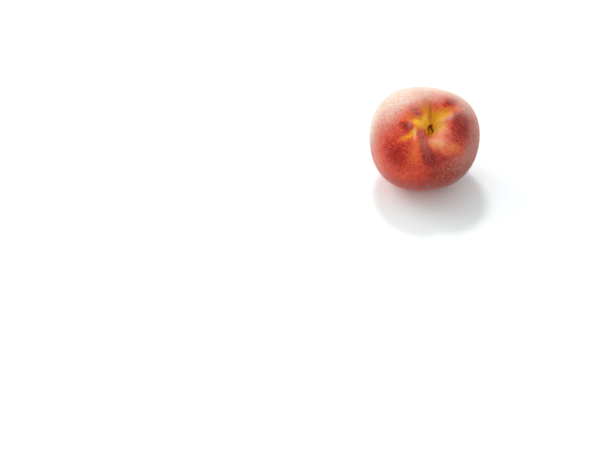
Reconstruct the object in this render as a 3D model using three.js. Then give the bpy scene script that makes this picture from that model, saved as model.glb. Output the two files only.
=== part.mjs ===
// A whole ripe peach, one grown piece, lying on its side on the small flat its own weight has pressed.
// Units are millimetres and +Z is up. The origin is on the surface it lies on, under the middle of its box.
// The skin is a ball of directions, each pushed out to the fruit's radius in that direction.
// In the fruit's own frame +Z leaves through the stem end, the seam lies on the +X side, and +Y is the
// right-hand cheek. Polar angles are measured from the stem end and azimuths from the seam, in degrees.

import * as THREE from 'three';
import { mergeVertices } from 'three/addons/utils/BufferGeometryUtils.js';

// Body
const CHEEK_RADIUS = 35.4; // mean radius across the cheeks
const STEM_HALF_HEIGHT = 33.4; // centre to the shoulders' level, before the stem hollow is sunk
const TIP_HALF_HEIGHT = 34.2; // centre to the blossom end
const STEM_ROUNDNESS = 2.28; // 2 is an ellipsoid, more is squarer in the shoulders
const TIP_ROUNDNESS = 2.08;
// Slow waves round the girth: a share of the radius, with a crest at the azimuth
const GIRTH_WAVES = [
  { lobes: 1, swell: 0.025, crest: -124 },
  { lobes: 2, swell: 0.033, crest: 87 },
  { lobes: 3, swell: 0.0165, crest: 100 },
  { lobes: 4, swell: 0.022, crest: 36 },
];

// Stem hollow, a funnel with folds running out of it over the shoulders
const HOLLOW = { depth: 9.4, spread: 15, sharpness: 1.75, lean: 0.12, leanAzimuth: 95 };
// A fold's azimuth is the one that it has at the turning point, and its sweep is how far it turns per degree outwards
const FOLDS = [
  { azimuth: -116, sweep: 1.0, halfWidth: 12, depth: 1.0, end: 35 },
  { azimuth: -74, sweep: 0.2, halfWidth: 10, depth: 1.1, end: 41 },
  { azimuth: 137, sweep: -1.0, halfWidth: 11, depth: 1.3, end: 42 },
  { azimuth: 179, sweep: 0, halfWidth: 9, depth: 1.3, end: 31 },
];
const FOLD_START = 12; // polar angle at which a fold has its whole depth
const FOLD_TURN = 25; // polar angle of the turning point
const FOLD_FADE = 16; // polar angle over which a fold runs out
// The pit that the stalk left at the bottom of the hollow
const STALK_PIT = { depth: 1.3, halfWidth: 2.3, halfLength: 3.6, shift: 0.4 };

// Seam, a groove with a steep left bank and a gentle right one
const SEAM = { depth: 3.1, leftBank: 6, rightBank: 7.5, faintDepth: 0.35, fadeStart: 26, fade: 25 };
// The seam starts left of the stalk and swings back to the middle of the front
const SEAM_PATH = { start: -6.4, swing: 30, drift: 0.6 };
// The cheeks swell beside it: distance across from the seam, and where along it they are fullest
const LEFT_CHEEK = { swell: 1.0, across: -8, halfWidth: 4.2, polar: 28, reach: 22 };
const RIGHT_CHEEK = { swell: 0.4, across: 13, halfWidth: 6, polar: 45, reach: 26 };

// Blossom end, a small point in a shallow dimple
const TIP = { dimpleDepth: 1.3, dimpleRadius: 8, pointHeight: 1.9, pointRadius: 2.3 };

// How it lies: the stem end leans towards -Y and a little towards +X
const LEAN = 39; // stem axis from upright
const TURN = 8; // stem axis from -Y, towards +X
const REST_DEPTH = 0.9; // how far the skin is pressed in at the resting spot

// Skin
const SKIN_COLOUR = 0xc9583f;
const SKIN_ROUGHNESS = 0.75;
const BALL_DETAIL = 18; // each face of the first icosahedron is cut into (detail + 1) squared triangles
const GATHER = 0.34; // how far the triangles crowd towards the stem hollow

const { degToRad, radToDeg, smoothstep } = THREE.MathUtils;

/** A bell of height 1, falling away from 0 over about one width. */
function bell(distance, width, sharpness = 2) {
  return Math.exp(-Math.pow(Math.abs(distance) / width, sharpness));
}

/** The smaller angle from one azimuth to another, with its sign. */
function azimuthFrom(azimuth, other) {
  return THREE.MathUtils.euclideanModulo(azimuth - other + 180, 360) - 180;
}

/** Radius of the plain body: a superellipse turned round the stem axis, with slow waves round its girth. */
function bodyRadius(direction, azimuth) {
  const girth = Math.hypot(direction.x, direction.y);
  const halfHeight = direction.z > 0 ? STEM_HALF_HEIGHT : TIP_HALF_HEIGHT;
  const roundness = direction.z > 0 ? STEM_ROUNDNESS : TIP_ROUNDNESS;
  const across = Math.pow(girth / CHEEK_RADIUS, roundness);
  const along = Math.pow(Math.abs(direction.z) / halfHeight, roundness);
  const round = Math.pow(across + along, -1 / roundness);
  return GIRTH_WAVES.reduce((radius, wave) => {
    const phase = degToRad(wave.lobes * (azimuth - wave.crest));
    return radius * (1 + wave.swell * girth * girth * Math.cos(phase));
  }, round);
}

/** Depth of the stem hollow, which opens wider towards one side. */
function hollowDepth(polar, azimuth) {
  const lean = HOLLOW.lean * Math.cos(degToRad(azimuth - HOLLOW.leanAzimuth)) * smoothstep(polar, 2, 12);
  return HOLLOW.depth * bell(polar, HOLLOW.spread * (1 + lean), HOLLOW.sharpness);
}

/** Depth of the folds that run out of the hollow. */
function foldDepth(polar, azimuth) {
  return FOLDS.reduce((depth, fold) => {
    const reach = smoothstep(polar, 0, FOLD_START) * (1 - smoothstep(polar, fold.end - FOLD_FADE, fold.end));
    const middle = fold.azimuth + fold.sweep * (polar - FOLD_TURN);
    return depth + fold.depth * reach * bell(azimuthFrom(azimuth, middle), fold.halfWidth);
  }, 0);
}

/** Depth of the oval pit that the stalk left. */
function stalkPitDepth(across, along) {
  const distance = Math.hypot(across / STALK_PIT.halfWidth, (along - STALK_PIT.shift) / STALK_PIT.halfLength);
  return STALK_PIT.depth * bell(distance, 1, 3);
}

/** Height of a cheek's swelling beside the seam. */
function cheekSwell(cheek, fromSeam, polar) {
  return cheek.swell * bell(fromSeam - cheek.across, cheek.halfWidth) * bell(polar - cheek.polar, cheek.reach);
}

/** What the seam side adds to the radius: the two cheeks' swelling, less the groove between them. */
function seamRelief(polar, across, along) {
  const path = SEAM_PATH.start * bell(polar, SEAM_PATH.swing) + SEAM_PATH.drift * smoothstep(polar, 40, 80);
  const fromSeam = across - path;
  const deep = SEAM.depth * smoothstep(polar, 2, 13) * bell(Math.max(polar - SEAM.fadeStart, 0), SEAM.fade);
  const faint = SEAM.faintDepth * smoothstep(polar, 30, 60) * (1 - smoothstep(polar, 130, 165));
  const leftBank = 1 - smoothstep(-fromSeam, 0, SEAM.leftBank);
  const rightBank = bell(fromSeam, SEAM.rightBank, 1.6);
  const groove = (deep + faint) * (fromSeam < 0 ? leftBank : rightBank);
  const swell = cheekSwell(LEFT_CHEEK, fromSeam, polar) + cheekSwell(RIGHT_CHEEK, fromSeam, polar);
  return smoothstep(along, -3, 5) * (swell - groove);
}

/** What the blossom end adds to the radius: its point, less the dimple round it. */
function tipRelief(fromAxis) {
  return TIP.pointHeight * bell(fromAxis, TIP.pointRadius) - TIP.dimpleDepth * bell(fromAxis, TIP.dimpleRadius);
}

/** The fruit's radius in a direction. */
function skinRadius(direction) {
  const polar = radToDeg(Math.acos(THREE.MathUtils.clamp(direction.z, -1, 1)));
  const azimuth = radToDeg(Math.atan2(direction.y, direction.x));
  const across = CHEEK_RADIUS * direction.y;
  const along = CHEEK_RADIUS * direction.x;
  const end = direction.z > 0 ? -stalkPitDepth(across, along) : tipRelief(Math.hypot(across, along));
  const top = -hollowDepth(polar, azimuth) - foldDepth(polar, azimuth);
  return bodyRadius(direction, azimuth) + top + seamRelief(polar, across, along) + end;
}

/** Moves a direction towards the stem end, so that the hollow and its folds get the smallest triangles. */
function gathered(direction) {
  const polar = Math.acos(THREE.MathUtils.clamp(direction.z, -1, 1));
  const azimuth = Math.atan2(direction.y, direction.x);
  const moved = polar - GATHER * Math.sin(polar) * (1 + Math.cos(polar)) / 2;
  return new THREE.Vector3().setFromSphericalCoords(1, moved, azimuth);
}

/** Turns a point from three's spherical axes, which have +Y up, to the fruit's, which have +Z up. */
function poleUp(point) {
  return new THREE.Vector3(point.z, point.x, point.y);
}

/** The turn that lays the fruit down: its columns are the seam side, the right cheek and the stem axis. */
function layingTurn() {
  const lean = degToRad(LEAN);
  const turn = degToRad(TURN);
  const stem = new THREE.Vector3(Math.sin(lean) * Math.sin(turn), -Math.sin(lean) * Math.cos(turn), Math.cos(lean));
  const seam = new THREE.Vector3(0, 0, -1).addScaledVector(stem, stem.z).normalize();
  const rightCheek = new THREE.Vector3().crossVectors(stem, seam);
  return new THREE.Matrix4().makeBasis(seam, rightCheek, stem);
}

/** Presses the lowest skin flat and moves the fruit so that the flat is at Z 0, under the box's middle. */
function settle(geometry) {
  const positions = geometry.getAttribute('position');
  geometry.computeBoundingBox();
  const surface = geometry.boundingBox.min.z + REST_DEPTH;
  for (let i = 0; i < positions.count; i += 1) {
    positions.setZ(i, Math.max(positions.getZ(i), surface));
  }
  geometry.computeBoundingBox();
  const middle = geometry.boundingBox.getCenter(new THREE.Vector3());
  geometry.translate(-middle.x, -middle.y, -surface);
}

/** The fruit's closed skin, laid down on its resting spot. */
function peachGeometry() {
  const ball = new THREE.IcosahedronGeometry(1, BALL_DETAIL);
  ball.deleteAttribute('normal');
  ball.deleteAttribute('uv');
  const geometry = mergeVertices(ball);
  const positions = geometry.getAttribute('position');
  const direction = new THREE.Vector3();
  for (let i = 0; i < positions.count; i += 1) {
    direction.fromBufferAttribute(positions, i).normalize();
    const aimed = poleUp(gathered(direction));
    const skin = aimed.clone().multiplyScalar(skinRadius(aimed));
    positions.setXYZ(i, skin.x, skin.y, skin.z);
  }
  geometry.applyMatrix4(layingTurn());
  settle(geometry);
  geometry.computeVertexNormals();
  return geometry;
}

/** Downy skin. */
function skinMaterial() {
  return new THREE.MeshStandardMaterial({ color: SKIN_COLOUR, roughness: SKIN_ROUGHNESS, metalness: 0 });
}

/** The whole fruit. */
function peach() {
  const mesh = new THREE.Mesh(peachGeometry(), skinMaterial());
  mesh.name = 'peach';
  return mesh;
}

const model = new THREE.Group();
model.add(peach());

export default model;
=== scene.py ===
"""A whole ripe peach lying on its side, with its downy skin, its stalk scar and its blossom point.

The fruit's own frame has +Z out of the stem end, the seam on the +X side and +Y towards the right-hand cheek.
Polar angles are measured from the stem end and azimuths from the seam, both in degrees. The fruit's sizes are
in millimetres and become metres when a mesh is laid down on the table.
"""

import logging
import math
from dataclasses import dataclass, field
from enum import Enum

import bpy
import numpy as np
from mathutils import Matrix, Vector
from mathutils.bvhtree import BVHTree

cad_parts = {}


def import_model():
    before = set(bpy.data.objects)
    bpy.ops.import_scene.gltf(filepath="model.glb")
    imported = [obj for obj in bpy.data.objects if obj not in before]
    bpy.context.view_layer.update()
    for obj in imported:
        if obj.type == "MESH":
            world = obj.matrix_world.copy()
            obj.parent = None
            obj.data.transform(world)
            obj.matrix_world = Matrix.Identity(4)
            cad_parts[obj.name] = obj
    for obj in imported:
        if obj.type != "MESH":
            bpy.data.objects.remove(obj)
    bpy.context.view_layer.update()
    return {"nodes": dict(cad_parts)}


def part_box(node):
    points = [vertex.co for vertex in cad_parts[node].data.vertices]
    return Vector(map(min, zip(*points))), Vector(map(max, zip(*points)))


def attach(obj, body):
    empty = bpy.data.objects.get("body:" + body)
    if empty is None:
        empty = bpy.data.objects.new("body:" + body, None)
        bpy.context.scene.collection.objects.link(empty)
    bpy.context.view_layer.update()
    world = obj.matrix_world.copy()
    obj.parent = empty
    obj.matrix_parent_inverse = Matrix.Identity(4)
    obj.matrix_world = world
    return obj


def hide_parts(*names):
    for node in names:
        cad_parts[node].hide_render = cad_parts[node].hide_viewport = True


LOG = logging.getLogger("peach")
MM = 0.001  # metres
BODY = "root"
NOISE_MIDDLE = 0.5
TINY = 1e-6

Colour = tuple[float, float, float]
Reach = tuple[float, float]  # where something starts and where it is complete
Source = bpy.types.NodeSocket | float | tuple[float, ...] | None  # what a node's socket is fed from


# ---------------------------------------------------------------- numbers and shapes


def bell(distance: np.ndarray, width: float, sharpness: float = 2.0) -> np.ndarray:
    """A bell of height 1.

    Args:
        distance: How far each point is from the middle.
        width: The distance at which the bell has fallen to 0.37.
        sharpness: 2 is a plain bell, and more gives a flatter top with steeper sides.

    Returns:
        The bell's height at each point.
    """
    return np.exp(-np.power(np.abs(distance) / width, sharpness))


def ease(value: np.ndarray, low: float, high: float) -> np.ndarray:
    """A smooth step.

    Args:
        value: The points along the step.
        low: Where it leaves 0.
        high: Where it reaches 1.

    Returns:
        The step's height at each point.
    """
    share = np.clip((value - low) / (high - low), 0.0, 1.0)
    return share * share * (3.0 - 2.0 * share)


def turn_between(azimuth: np.ndarray, other: float) -> np.ndarray:
    """The smaller turn from one azimuth to others.

    Args:
        azimuth: The azimuths that are turned to.
        other: The one that is turned from.

    Returns:
        Each turn in degrees, with its sign.
    """
    return (azimuth - other + 180.0) % 360.0 - 180.0


def linear(red: int, green: int, blue: int) -> Colour:
    """A colour of a screen as the linear values that shaders use.

    Args:
        red: The screen's red, from 0 to 255.
        green: Its green.
        blue: Its blue.

    Returns:
        The linear values, from 0 to 1.
    """
    shares = [value / 255.0 for value in (red, green, blue)]
    return tuple(s / 12.92 if s <= 0.04045 else ((s + 0.055) / 1.055) ** 2.4 for s in shares)


def hills(points: np.ndarray, length: float, seed: int) -> np.ndarray:
    """Smooth random hills and hollows, made of a few waves in scattered directions.

    Args:
        points: Where the hills are wanted, one row each.
        length: The length of the waves, in the points' own units.
        seed: What the directions and starts of the waves are drawn from.

    Returns:
        The height at each point, mostly between -1 and 1.
    """
    draw = np.random.default_rng(seed)
    waves = 6
    total = np.zeros(len(points))
    for _ in range(waves):
        heading = draw.normal(size=points.shape[1])
        heading *= math.tau / length / np.linalg.norm(heading)
        total += np.sin(points @ heading + draw.uniform(0.0, math.tau))
    return total / math.sqrt(waves)


@dataclass(frozen=True)
class Wave:
    """A slow wave round the girth: a share of the radius, with a crest at an azimuth."""

    lobes: int
    swell: float
    crest: float


@dataclass(frozen=True)
class Fold:
    """A fold that runs out of the stem hollow: the sweep is how far its azimuth turns per degree outwards."""

    azimuth: float
    half_width: float
    depth: float
    end: float
    sweep: float


@dataclass(frozen=True)
class Cheek:
    """A swelling beside the seam: how high, how far across from the seam, and where along it."""

    swell: float
    across: float
    half_width: float
    polar: float
    reach: float


@dataclass
class Places:
    """Where each point of the skin is, in the ways that the shape and the colours need it."""

    direction: np.ndarray
    polar: np.ndarray
    azimuth: np.ndarray
    across: np.ndarray
    along: np.ndarray
    from_seam: np.ndarray


@dataclass(frozen=True)
class FruitForm:
    """The fruit's shape, as a radius in every direction, and how it lies on the table.

    Depths, heights and distances across or along the seam are in millimetres. Spreads, swings, fades and the
    reaches along the seam are polar angles in degrees.
    """

    cheek_radius: float = 35.4
    stem_half_height: float = 33.4
    tip_half_height: float = 34.2
    stem_roundness: float = 2.28
    tip_roundness: float = 2.08
    waves: tuple[Wave, ...] = (
        Wave(1, 0.025, -124.0),
        Wave(2, 0.033, 87.0),
        Wave(3, 0.0165, 100.0),
        Wave(4, 0.022, 36.0),
    )
    hollow_depth: float = 9.4
    hollow_spread: float = 15.0
    hollow_sharpness: float = 1.75
    hollow_lean: float = 0.12
    hollow_lean_azimuth: float = 95.0
    hollow_lean_reach: Reach = (2.0, 12.0)
    folds: tuple[Fold, ...] = (
        Fold(azimuth=-116.0, half_width=12.0, depth=1.0, end=35.0, sweep=1.0),
        Fold(azimuth=-74.0, half_width=10.0, depth=1.1, end=41.0, sweep=0.2),
        Fold(azimuth=137.0, half_width=11.0, depth=1.3, end=42.0, sweep=-1.0),
        Fold(azimuth=179.0, half_width=9.0, depth=1.3, end=31.0, sweep=0.0),
    )
    fold_start: float = 12.0
    fold_fade: float = 16.0
    fold_turn_polar: float = 25.0
    pit_depth: float = 1.3
    pit_half_width: float = 2.3
    pit_half_length: float = 3.6
    pit_shift: float = 0.4
    pit_sharpness: float = 3.0
    seam_depth: float = 3.1
    seam_left_bank: float = 6.0
    seam_right_bank: float = 7.5
    seam_right_sharpness: float = 1.6
    seam_opening: Reach = (2.0, 13.0)
    seam_faint_depth: float = 0.35
    seam_faint_start: Reach = (30.0, 60.0)
    seam_faint_end: Reach = (130.0, 165.0)
    seam_fade_start: float = 26.0
    seam_fade: float = 25.0
    seam_start: float = -6.4
    seam_swing: float = 30.0
    seam_drift: float = 0.6
    seam_drift_reach: Reach = (40.0, 80.0)
    seam_half: Reach = (-3.0, 5.0)
    left_cheek: Cheek = Cheek(swell=1.0, across=-8.0, half_width=4.2, polar=28.0, reach=22.0)
    right_cheek: Cheek = Cheek(swell=0.4, across=13.0, half_width=6.0, polar=45.0, reach=26.0)
    tip_dimple_depth: float = 1.3
    tip_dimple_radius: float = 8.0
    tip_point_height: float = 1.9
    tip_point_radius: float = 2.3
    lean: float = 39.0
    turn: float = 8.0
    rest_depth: float = 0.9

    def places(self, direction: np.ndarray) -> Places:
        """Measures directions in the fruit's frame.

        Args:
            direction: Unit vectors, one row each.

        Returns:
            Their angles, and their distances across from and along the seam's plane.
        """
        polar = np.degrees(np.arccos(np.clip(direction[:, 2], -1.0, 1.0)))
        azimuth = np.degrees(np.arctan2(direction[:, 1], direction[:, 0]))
        across = self.cheek_radius * direction[:, 1]
        along = self.cheek_radius * direction[:, 0]
        path = self.seam_start * bell(polar, self.seam_swing)
        path = path + self.seam_drift * ease(polar, *self.seam_drift_reach)
        return Places(direction, polar, azimuth, across, along, across - path)

    def body(self, at: Places) -> np.ndarray:
        """Finds the plain body: a superellipse turned round the stem axis, with waves round its girth.

        Args:
            at: Where it is wanted.

        Returns:
            The radius at each place.
        """
        girth = np.hypot(at.direction[:, 0], at.direction[:, 1])
        upper = at.direction[:, 2] > 0
        half_height = np.where(upper, self.stem_half_height, self.tip_half_height)
        roundness = np.where(upper, self.stem_roundness, self.tip_roundness)
        across = np.power(girth / self.cheek_radius, roundness)
        along = np.power(np.abs(at.direction[:, 2]) / half_height, roundness)
        radius = np.power(across + along, -1.0 / roundness)
        for wave in self.waves:
            phase = np.radians(wave.lobes * (at.azimuth - wave.crest))
            radius = radius * (1.0 + wave.swell * girth**2 * np.cos(phase))
        return radius

    def hollow(self, at: Places) -> np.ndarray:
        """Finds the stem hollow, which opens wider towards one side.

        Args:
            at: Where it is wanted.

        Returns:
            The depth at each place.
        """
        toward = np.cos(np.radians(at.azimuth - self.hollow_lean_azimuth))
        lean = self.hollow_lean * toward * ease(at.polar, *self.hollow_lean_reach)
        spread = self.hollow_spread * (1.0 + lean)
        return self.hollow_depth * bell(at.polar, spread, self.hollow_sharpness)

    def fold_share(self, fold: Fold, at: Places) -> np.ndarray:
        """Finds how much of one fold there is.

        Args:
            fold: The fold.
            at: Where it is wanted.

        Returns:
            The share at each place, from 0 to 1.
        """
        start = ease(at.polar, 0.0, self.fold_start)
        end = 1.0 - ease(at.polar, fold.end - self.fold_fade, fold.end)
        middle = fold.azimuth + fold.sweep * (at.polar - self.fold_turn_polar)
        return start * end * bell(turn_between(at.azimuth, middle), fold.half_width)

    def pit_distance(self, at: Places) -> np.ndarray:
        """Distance from the middle of the oval that the stalk left, which is 1 on its edge."""
        return np.hypot(at.across / self.pit_half_width, (at.along - self.pit_shift) / self.pit_half_length)

    def seam(self, at: Places) -> np.ndarray:
        """Finds the seam's groove, with its steep left bank and its gentle right one.

        Args:
            at: Where it is wanted.

        Returns:
            The depth at each place.
        """
        past = np.maximum(at.polar - self.seam_fade_start, 0.0)
        deep = self.seam_depth * ease(at.polar, *self.seam_opening) * bell(past, self.seam_fade)
        end = 1.0 - ease(at.polar, *self.seam_faint_end)
        faint = self.seam_faint_depth * ease(at.polar, *self.seam_faint_start) * end
        left_bank = 1.0 - ease(-at.from_seam, 0.0, self.seam_left_bank)
        right_bank = bell(at.from_seam, self.seam_right_bank, self.seam_right_sharpness)
        return (deep + faint) * np.where(at.from_seam < 0, left_bank, right_bank)

    def seam_side(self, at: Places) -> np.ndarray:
        """1 on the side of the fruit that has the seam, and 0 on the other."""
        return ease(at.along, *self.seam_half)

    def cheeks(self, at: Places) -> np.ndarray:
        """Finds the two swellings beside the seam.

        Args:
            at: Where they are wanted.

        Returns:
            The height at each place.
        """
        swells = [
            cheek.swell
            * bell(at.from_seam - cheek.across, cheek.half_width)
            * bell(at.polar - cheek.polar, cheek.reach)
            for cheek in (self.left_cheek, self.right_cheek)
        ]
        return swells[0] + swells[1]

    def ends(self, at: Places) -> np.ndarray:
        """Finds the shape of the two ends: the stalk's pit, and the blossom point in its dimple.

        Args:
            at: Where it is wanted.

        Returns:
            What is added to the radius at each place.
        """
        from_axis = np.hypot(at.across, at.along)
        pit = -self.pit_depth * bell(self.pit_distance(at), 1.0, self.pit_sharpness)
        point = self.tip_point_height * bell(from_axis, self.tip_point_radius)
        dimple = self.tip_dimple_depth * bell(from_axis, self.tip_dimple_radius)
        return np.where(at.direction[:, 2] > 0, pit, point - dimple)

    def radius(self, at: Places) -> np.ndarray:
        """Finds the whole fruit's radius.

        Args:
            at: Where it is wanted.

        Returns:
            The radius at each place.
        """
        folds = sum(fold.depth * self.fold_share(fold, at) for fold in self.folds)
        relief = self.seam_side(at) * (self.cheeks(at) - self.seam(at))
        return self.body(at) - self.hollow(at) - folds + relief + self.ends(at)

    def axes(self) -> np.ndarray:
        """Finds how the fruit is turned as it lies.

        Returns:
            The fruit's +X, +Y and +Z as rows of table coordinates.
        """
        lean, turn = math.radians(self.lean), math.radians(self.turn)
        stem = np.array([math.sin(lean) * math.sin(turn), -math.sin(lean) * math.cos(turn), math.cos(lean)])
        seam = np.array([0.0, 0.0, -1.0]) + stem * stem[2]
        seam /= np.linalg.norm(seam)
        return np.stack([seam, np.cross(stem, seam), stem])


@dataclass(frozen=True)
class Lying:
    """Where the fruit lies: how points in its own frame go down on the table."""

    form: FruitForm
    rest_level: float
    shift: tuple[float, float, float]

    def down(self, points: np.ndarray) -> np.ndarray:
        """Lays points down on the table, and presses the lowest ones flat.

        Args:
            points: Points in the fruit's frame, in millimetres.

        Returns:
            The points on the table, in metres.
        """
        turned = points @ self.form.axes()
        turned[:, 2] = np.maximum(turned[:, 2], self.rest_level)
        return turned * MM + np.array(self.shift)

    def centre(self) -> Vector:
        """The middle of the fruit's frame on the table."""
        return Vector(self.shift)


def lay_down(form: FruitForm, points: np.ndarray, low: Vector, high: Vector) -> Lying:
    """Finds where the fruit lies from the box that it has to fill.

    Args:
        form: The fruit's shape.
        points: The skin's points in the fruit's frame, in millimetres.
        low: The lowest corner of the box, in metres.
        high: The highest corner of the box, in metres.

    Returns:
        The fruit's place, with its pressed resting spot on the bottom of the box.
    """
    turned = points @ form.axes()
    level = float(turned[:, 2].min()) + form.rest_depth
    middle = (turned.max(0) + turned.min(0)) / 2.0 * MM
    box = (low + high) / 2.0
    return Lying(form, level, (box.x - middle[0], box.y - middle[1], low.z - level * MM))


class Side(Enum):
    """The sides of the cube that is blown up into a ball: the axis that it faces, and which way."""

    FRONT = (0, 1)
    RIGHT = (1, 1)
    TOP = (2, 1)
    BACK = (0, -1)
    LEFT = (1, -1)
    UNDER = (2, -1)


@dataclass(frozen=True)
class Ball:
    """A closed ball of even quads, whose quads crowd towards the stem end."""

    cuts: int = 112
    gather: float = 0.34
    tiles_wide: int = 3
    tiles_high: int = 2
    tile_margin: float = 0.01

    def side_grid(self, side: Side) -> np.ndarray:
        """Spreads directions over one side of the cube.

        Args:
            side: The side.

        Returns:
            The directions, as a square grid.
        """
        axis, sign = side.value
        steps = np.tan(np.linspace(-1.0, 1.0, self.cuts + 1) * math.pi / 4.0)
        first, second = np.meshgrid(steps, steps * sign, indexing="ij")
        grid = np.zeros((self.cuts + 1, self.cuts + 1, 3))
        grid[..., axis] = sign
        grid[..., (axis + 1) % 3] = first
        grid[..., (axis + 2) % 3] = second
        return grid / np.linalg.norm(grid, axis=-1, keepdims=True)

    def tile(self, number: int) -> np.ndarray:
        """Spreads places on the flat map over one side of the cube.

        Args:
            number: The side's number.

        Returns:
            The places, as a square grid inside that side's tile.
        """
        steps = np.linspace(self.tile_margin, 1.0 - self.tile_margin, self.cuts + 1)
        first, second = np.meshgrid(steps, steps, indexing="ij")
        column, row = number % self.tiles_wide, number // self.tiles_wide
        return np.stack([(first + column) / self.tiles_wide, (second + row) / self.tiles_high], axis=-1)

    def gathered(self, direction: np.ndarray) -> np.ndarray:
        """Moves directions towards the stem end.

        Args:
            direction: Unit vectors, one row each.

        Returns:
            The moved unit vectors.
        """
        polar = np.arccos(np.clip(direction[:, 2], -1.0, 1.0))
        azimuth = np.arctan2(direction[:, 1], direction[:, 0])
        moved = polar - self.gather * np.sin(polar) * (1.0 + np.cos(polar)) / 2.0
        girth = np.sin(moved)
        return np.stack([girth * np.cos(azimuth), girth * np.sin(azimuth), np.cos(moved)], axis=1)

    def build(self) -> tuple[np.ndarray, np.ndarray, np.ndarray]:
        """Makes the ball.

        Returns:
            The directions, the four corners of each quad, and the flat map's place of each corner.
        """
        count = self.cuts + 1
        loose = np.concatenate([self.side_grid(side).reshape(-1, 3) for side in Side])
        spots = np.concatenate([self.tile(number).reshape(-1, 2) for number in range(len(Side))])
        index = np.arange(count * count).reshape(count, count)
        corners = [index[:-1, :-1], index[1:, :-1], index[1:, 1:], index[:-1, 1:]]
        one_side = np.stack(corners, axis=-1).reshape(-1, 4)
        quads = np.concatenate([one_side + number * count * count for number in range(len(Side))])
        _, first, shared = np.unique(np.round(loose, 6), axis=0, return_index=True, return_inverse=True)
        return self.gathered(loose[first]), shared.reshape(-1)[quads], spots[quads]


# ---------------------------------------------------------------- nodes


class Desk:
    """Lays out nodes in one tree and wires them."""

    def __init__(self, tree: bpy.types.NodeTree) -> None:
        """Takes the tree to work in."""
        self.tree = tree

    def put(self, kind: str, **settings: str | bool) -> bpy.types.Node:
        """Adds a node.

        Args:
            kind: The node's type name.
            settings: Attributes of the node to set.

        Returns:
            The new node.
        """
        node = self.tree.nodes.new(kind)
        for name, value in settings.items():
            setattr(node, name, value)
        return node

    def feed(self, target: bpy.types.NodeSocket, source: Source) -> None:
        """Wires a socket into another, or sets a plain value on it.

        Args:
            target: The socket that is fed.
            source: A socket, a plain value, or None to leave the target as it is.
        """
        if isinstance(source, bpy.types.NodeSocket):
            self.tree.links.new(source, target)
        elif source is not None:
            target.default_value = source

    def maths(
        self,
        operation: str,
        first: Source,
        second: Source = None,
        third: Source = None,
        clamp: bool = False,
    ) -> bpy.types.NodeSocket:
        """Adds a sum on numbers.

        Args:
            operation: The sum to do.
            first: A socket or a number.
            second: Another, where the sum takes two.
            third: Another, where the sum takes three.
            clamp: Whether the result is kept between 0 and 1.

        Returns:
            The result.
        """
        node = self.put("ShaderNodeMath", operation=operation, use_clamp=clamp)
        for socket, value in zip(node.inputs, (first, second, third)):
            self.feed(socket, value)
        return node.outputs[0]

    def vectors(
        self,
        operation: str,
        first: Source,
        second: Source = None,
        scale: Source = None,
        out: str = "Vector",
    ) -> bpy.types.NodeSocket:
        """Adds a sum on vectors.

        Args:
            operation: The sum to do.
            first: A socket or a vector.
            second: Another, where the sum takes two.
            scale: A socket or a number, where the sum takes one.
            out: The result that is wanted, Vector or Value.

        Returns:
            The result.
        """
        node = self.put("ShaderNodeVectorMath", operation=operation)
        self.feed(node.inputs[0], first)
        self.feed(node.inputs[1], second)
        if scale is not None:
            self.feed(node.inputs["Scale"], scale)
        return node.outputs[out]

    def blend(self, share: Source, first: Source, second: Source) -> bpy.types.NodeSocket:
        """Adds a mix of two colours.

        Args:
            share: How much there is of the second colour, from 0 to 1.
            first: A socket or a colour.
            second: Another.

        Returns:
            The mixed colour.
        """
        node = self.put("ShaderNodeMix", data_type="RGBA", clamp_factor=True)
        self.feed(node.inputs["Factor"], share)
        self.feed(node.inputs["A"], first)
        self.feed(node.inputs["B"], second)
        return node.outputs["Result"]

    def step(
        self,
        value: Source,
        low: float,
        high: float,
        to_low: float = 0.0,
        to_high: float = 1.0,
    ) -> bpy.types.NodeSocket:
        """Adds a smooth step between two values.

        Args:
            value: A socket or a number.
            low: Where the step starts.
            high: Where it ends.
            to_low: The step's height before its start.
            to_high: The step's height past its end.

        Returns:
            The step's height at the value.
        """
        node = self.put("ShaderNodeMapRange", interpolation_type="SMOOTHSTEP", clamp=True)
        self.feed(node.inputs["Value"], value)
        for name, number in zip(("From Min", "From Max", "To Min", "To Max"), (low, high, to_low, to_high)):
            node.inputs[name].default_value = number
        return node.outputs["Result"]

    def attribute(self, name: str) -> bpy.types.Node:
        """Adds a reader of a value that the mesh holds."""
        return self.put("ShaderNodeAttribute", attribute_type="GEOMETRY", attribute_name=name)

    def noise(
        self,
        vector: Source,
        scale: Source,
        detail: float = 3.0,
        roughness: float = 0.5,
    ) -> bpy.types.NodeSocket:
        """Adds a cloudy pattern.

        Args:
            vector: The place in the pattern.
            scale: How fine it is, in clouds per metre.
            detail: How many finer patterns are laid over it.
            roughness: How strong the finer ones are.

        Returns:
            The pattern, from 0 to 1.
        """
        node = self.put("ShaderNodeTexNoise", noise_dimensions="3D", normalize=True)
        self.feed(node.inputs["Vector"], vector)
        self.feed(node.inputs["Scale"], scale)
        node.inputs["Detail"].default_value = detail
        node.inputs["Roughness"].default_value = roughness
        return node.outputs["Fac"]

    def ramp(self, value: Source, stops: tuple[tuple[float, Colour], ...]) -> bpy.types.NodeSocket:
        """Adds a run of colours.

        Args:
            value: The socket that picks the colour.
            stops: Each stop's position and colour, in order.

        Returns:
            The colour.
        """
        node = self.put("ShaderNodeValToRGB")
        ramp = node.color_ramp
        ramp.interpolation = "LINEAR"
        for _ in range(len(stops) - len(ramp.elements)):
            ramp.elements.new(0.5)
        for element, (position, colour) in zip(ramp.elements, stops):
            element.position = position
            element.color = (*colour, 1.0)
        self.feed(node.inputs["Fac"], value)
        return node.outputs["Color"]


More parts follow.
